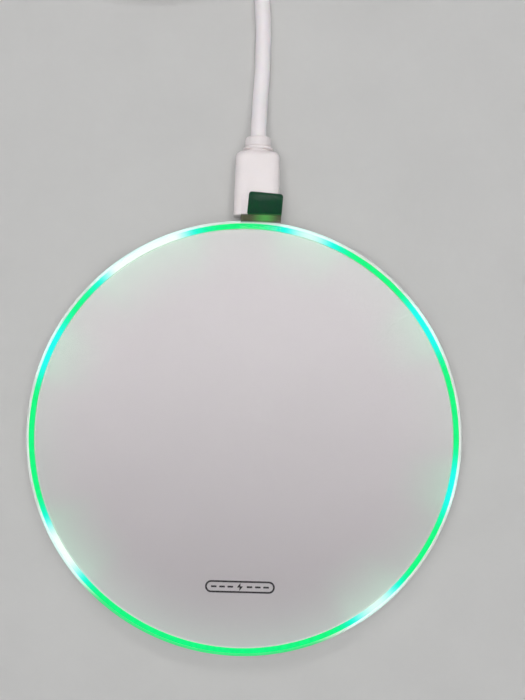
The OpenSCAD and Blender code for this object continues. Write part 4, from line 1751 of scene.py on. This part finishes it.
@dataclass
class Works:
    """What the pad holds inside: the board and its parts, the coil, its ferrite and tray."""

    wire: float = 1.06 * MM
    eye: float = 10 * MM

    def winding(self) -> None:
        """The transmitter coil: one layer of round litz wire wound as a flat spiral.

        The radius is the inner one plus the wire's pitch for each turn.
        """
        low, high = corners("transmitter_coil")
        outer, inner = (high[0] - low[0]) / 2 - self.wire / 2, self.eye + self.wire / 2
        turns = (outer - inner) / (self.wire * 1.02)
        t = np.linspace(0, turns, int(turns * 72))
        radius = inner + (outer - inner) * t / turns
        path = np.stack([radius * np.cos(t * TURN), radius * np.sin(t * TURN),
                         np.full_like(t, (low[2] + high[2]) / 2)], axis=1)
        round_it = arc((0.0, 0.0), self.wire / 2, 0, 330, 12)
        piece = Form().loft(sweep(path, round_it)).make("coil_winding", 60)
        settle(piece, Litz("litz copper", (0.72, 0.34, 0.16), 2.4 * MM), Body.PAD, "copper",
               "transmitter_coil")

    def build(self) -> None:
        """Makes the winding and dresses every inner CAD node."""
        self.winding()
        chip = Moulded("chip epoxy", (0.03, 0.03, 0.032), 0.55, 3000, 0.00002, 0.2)
        clay = Moulded("capacitor clay", (0.44, 0.33, 0.22), 0.4, 1500, 0.00002, 0.15)
        ferrite = Moulded("sintered ferrite", (0.05, 0.05, 0.055), 0.6, 1200, 0.00005, 0.25)
        tray = Moulded("tray white", (0.78, 0.78, 0.77), 0.5)
        finishes: dict[str, Finish] = {
            "case_screws": STEEL, "socket_shell": STEEL, "clock_crystal": STEEL,
            "socket_contacts": GOLD, "socket_tongue": BLACK,
            "circuit_board": SolderMask("solder mask", (0.012, 0.085, 0.035)),
            "edge_leds": Moulded("light lens", (0.75, 0.82, 0.76), 0.2, 2000, 0.00001, 0.05, 0.5),
            "controller_chip": chip, "bridge_transistors": chip, "chip_resistors": chip,
            "resonant_capacitors": clay, "filter_capacitors": clay,
            "power_inductor": ferrite, "ferrite_disc": ferrite,
            "thermistor": Moulded("dipped bead", (0.22, 0.03, 0.02), 0.25, 900, 0.00003, 0.1, 0.4),
            "coil_leads": Plated("tinned copper", (0.72, 0.4, 0.22), 0.3),
            "coil_tray": tray,
            "panel_adhesive": Moulded("adhesive film", (0.6, 0.6, 0.58), 0.6, 700, 0.00004, 0.1),
        }
        for node, finish in finishes.items():
            WARDROBE.dress_node(node, finish)


# ---------------------------------------------------------------- studio


@dataclass
class Studio:
    """The camera, the pale floor and the soft light."""

    target: tuple[float, float, float] = (3.75 * MM, 20.4 * MM, 8.6 * MM)
    distance: float = 0.230
    roll: float = 1.5
    seen_height: float = 0.1603
    sensor: float = 36.0
    floor_size: float = 9.0
    box_size: tuple[float, float] = (0.44, 1.0)
    box_height: float = 0.62
    gap: tuple[float, float] = (0.14, 0.34)
    fill: float = 0.37

    def camera(self) -> None:
        """The camera: straight above, looking down, turned a little about its own axis.

        The lens is sensor times distance over the height that the picture covers.
        """
        data = bpy.data.cameras.new("camera")
        data.sensor_width = self.sensor
        data.lens = self.sensor * self.distance / self.seen_height
        data.clip_start, data.clip_end = 0.01, 10.0
        camera = bpy.data.objects.new("camera", data)
        x, y, z = self.target
        camera.location = (x, y, z + self.distance)
        camera.rotation_euler = (0.0, 0.0, math.radians(self.roll))
        bpy.context.scene.collection.objects.link(camera)
        bpy.context.scene.camera = camera

    def floor(self) -> None:
        """The pale floor: a wide thin slab just under the desk plane."""
        outline = box_outline(self.floor_size, self.floor_size, 0.05, 4)
        rows = slab(outline, (0.0, 0.1), [0.02, 0.1, 0.3, 1.0], 0.0, 0.01)
        floor = Form().loft(rows).make("floor")
        WARDROBE.dress(floor, Moulded("pale floor", (0.60, 0.60, 0.59), 0.8, 300, 0.00003, 0.02))

    def softbox(self) -> None:
        """A soft overhead light, brighter towards the back, with a dark gap behind the pad.

        The panel's gloss shows the ramp up to the gap; the tab and the plug reflect the gap.
        """
        outline = box_outline(*self.box_size, 0.03, 4)
        rows = slab(outline, (0.0, 0.0), [0.1, 1.0], self.box_height, 0.002)
        box = Form().loft(rows).make("softbox")
        n = Nodes("softbox light")
        y = n.parts(n.point)[1]
        ramp = n.span(y, -0.26, 0.12, 0.6, 6.2, ease=True)
        near, far = self.gap
        open_part = n.math("MAXIMUM", n.span(y, near - 0.012, near, 1.0, 0.04, ease=True),
                           n.span(y, far, far + 0.04, 0.0, 0.8, ease=True))
        n.join(n.math("MULTIPLY", ramp, open_part), n.shader.inputs["Emission Strength"])
        n.constant(Emission_Color=(1.0, 0.985, 0.97, 1.0), Base_Color=(0.0, 0.0, 0.0, 1.0))
        box.data.materials.append(n.material)
        box.visible_camera = False

    def world(self) -> None:
        """A faint even fill from all round."""
        world = bpy.data.worlds.new("studio")
        world.use_nodes = True
        sky = next(n for n in world.node_tree.nodes if n.type == "BACKGROUND")
        sky.inputs["Color"].default_value = (0.93, 0.95, 1.0, 1.0)
        sky.inputs["Strength"].default_value = self.fill
        bpy.context.scene.world = world
        bpy.context.scene.view_settings.view_transform = "Standard"
        bpy.context.scene.cycles.sampling_pattern = "TABULATED_SOBOL"

    def build(self) -> None:
        """Sets the stage up."""
        self.camera()
        self.floor()
        self.softbox()
        self.world()


def main() -> None:
    """Builds the studio, the lead, the pad and its film."""
    logging.basicConfig(level=logging.INFO, format="%(name)s: %(message)s")
    Studio().build()
    cord = Cord()
    plug = SmallPlug()
    ends = plug.build() + SupplyPlug().build() + [cord.tie()]
    exit_at = (float(plug.middle[0]), float(plug.relief_high[1]), float(plug.middle[2]))
    cord.build(exit_at, ends)
    Pad().build()
    Film().build()
    Works().build()


if __name__ == "__main__":
    main()
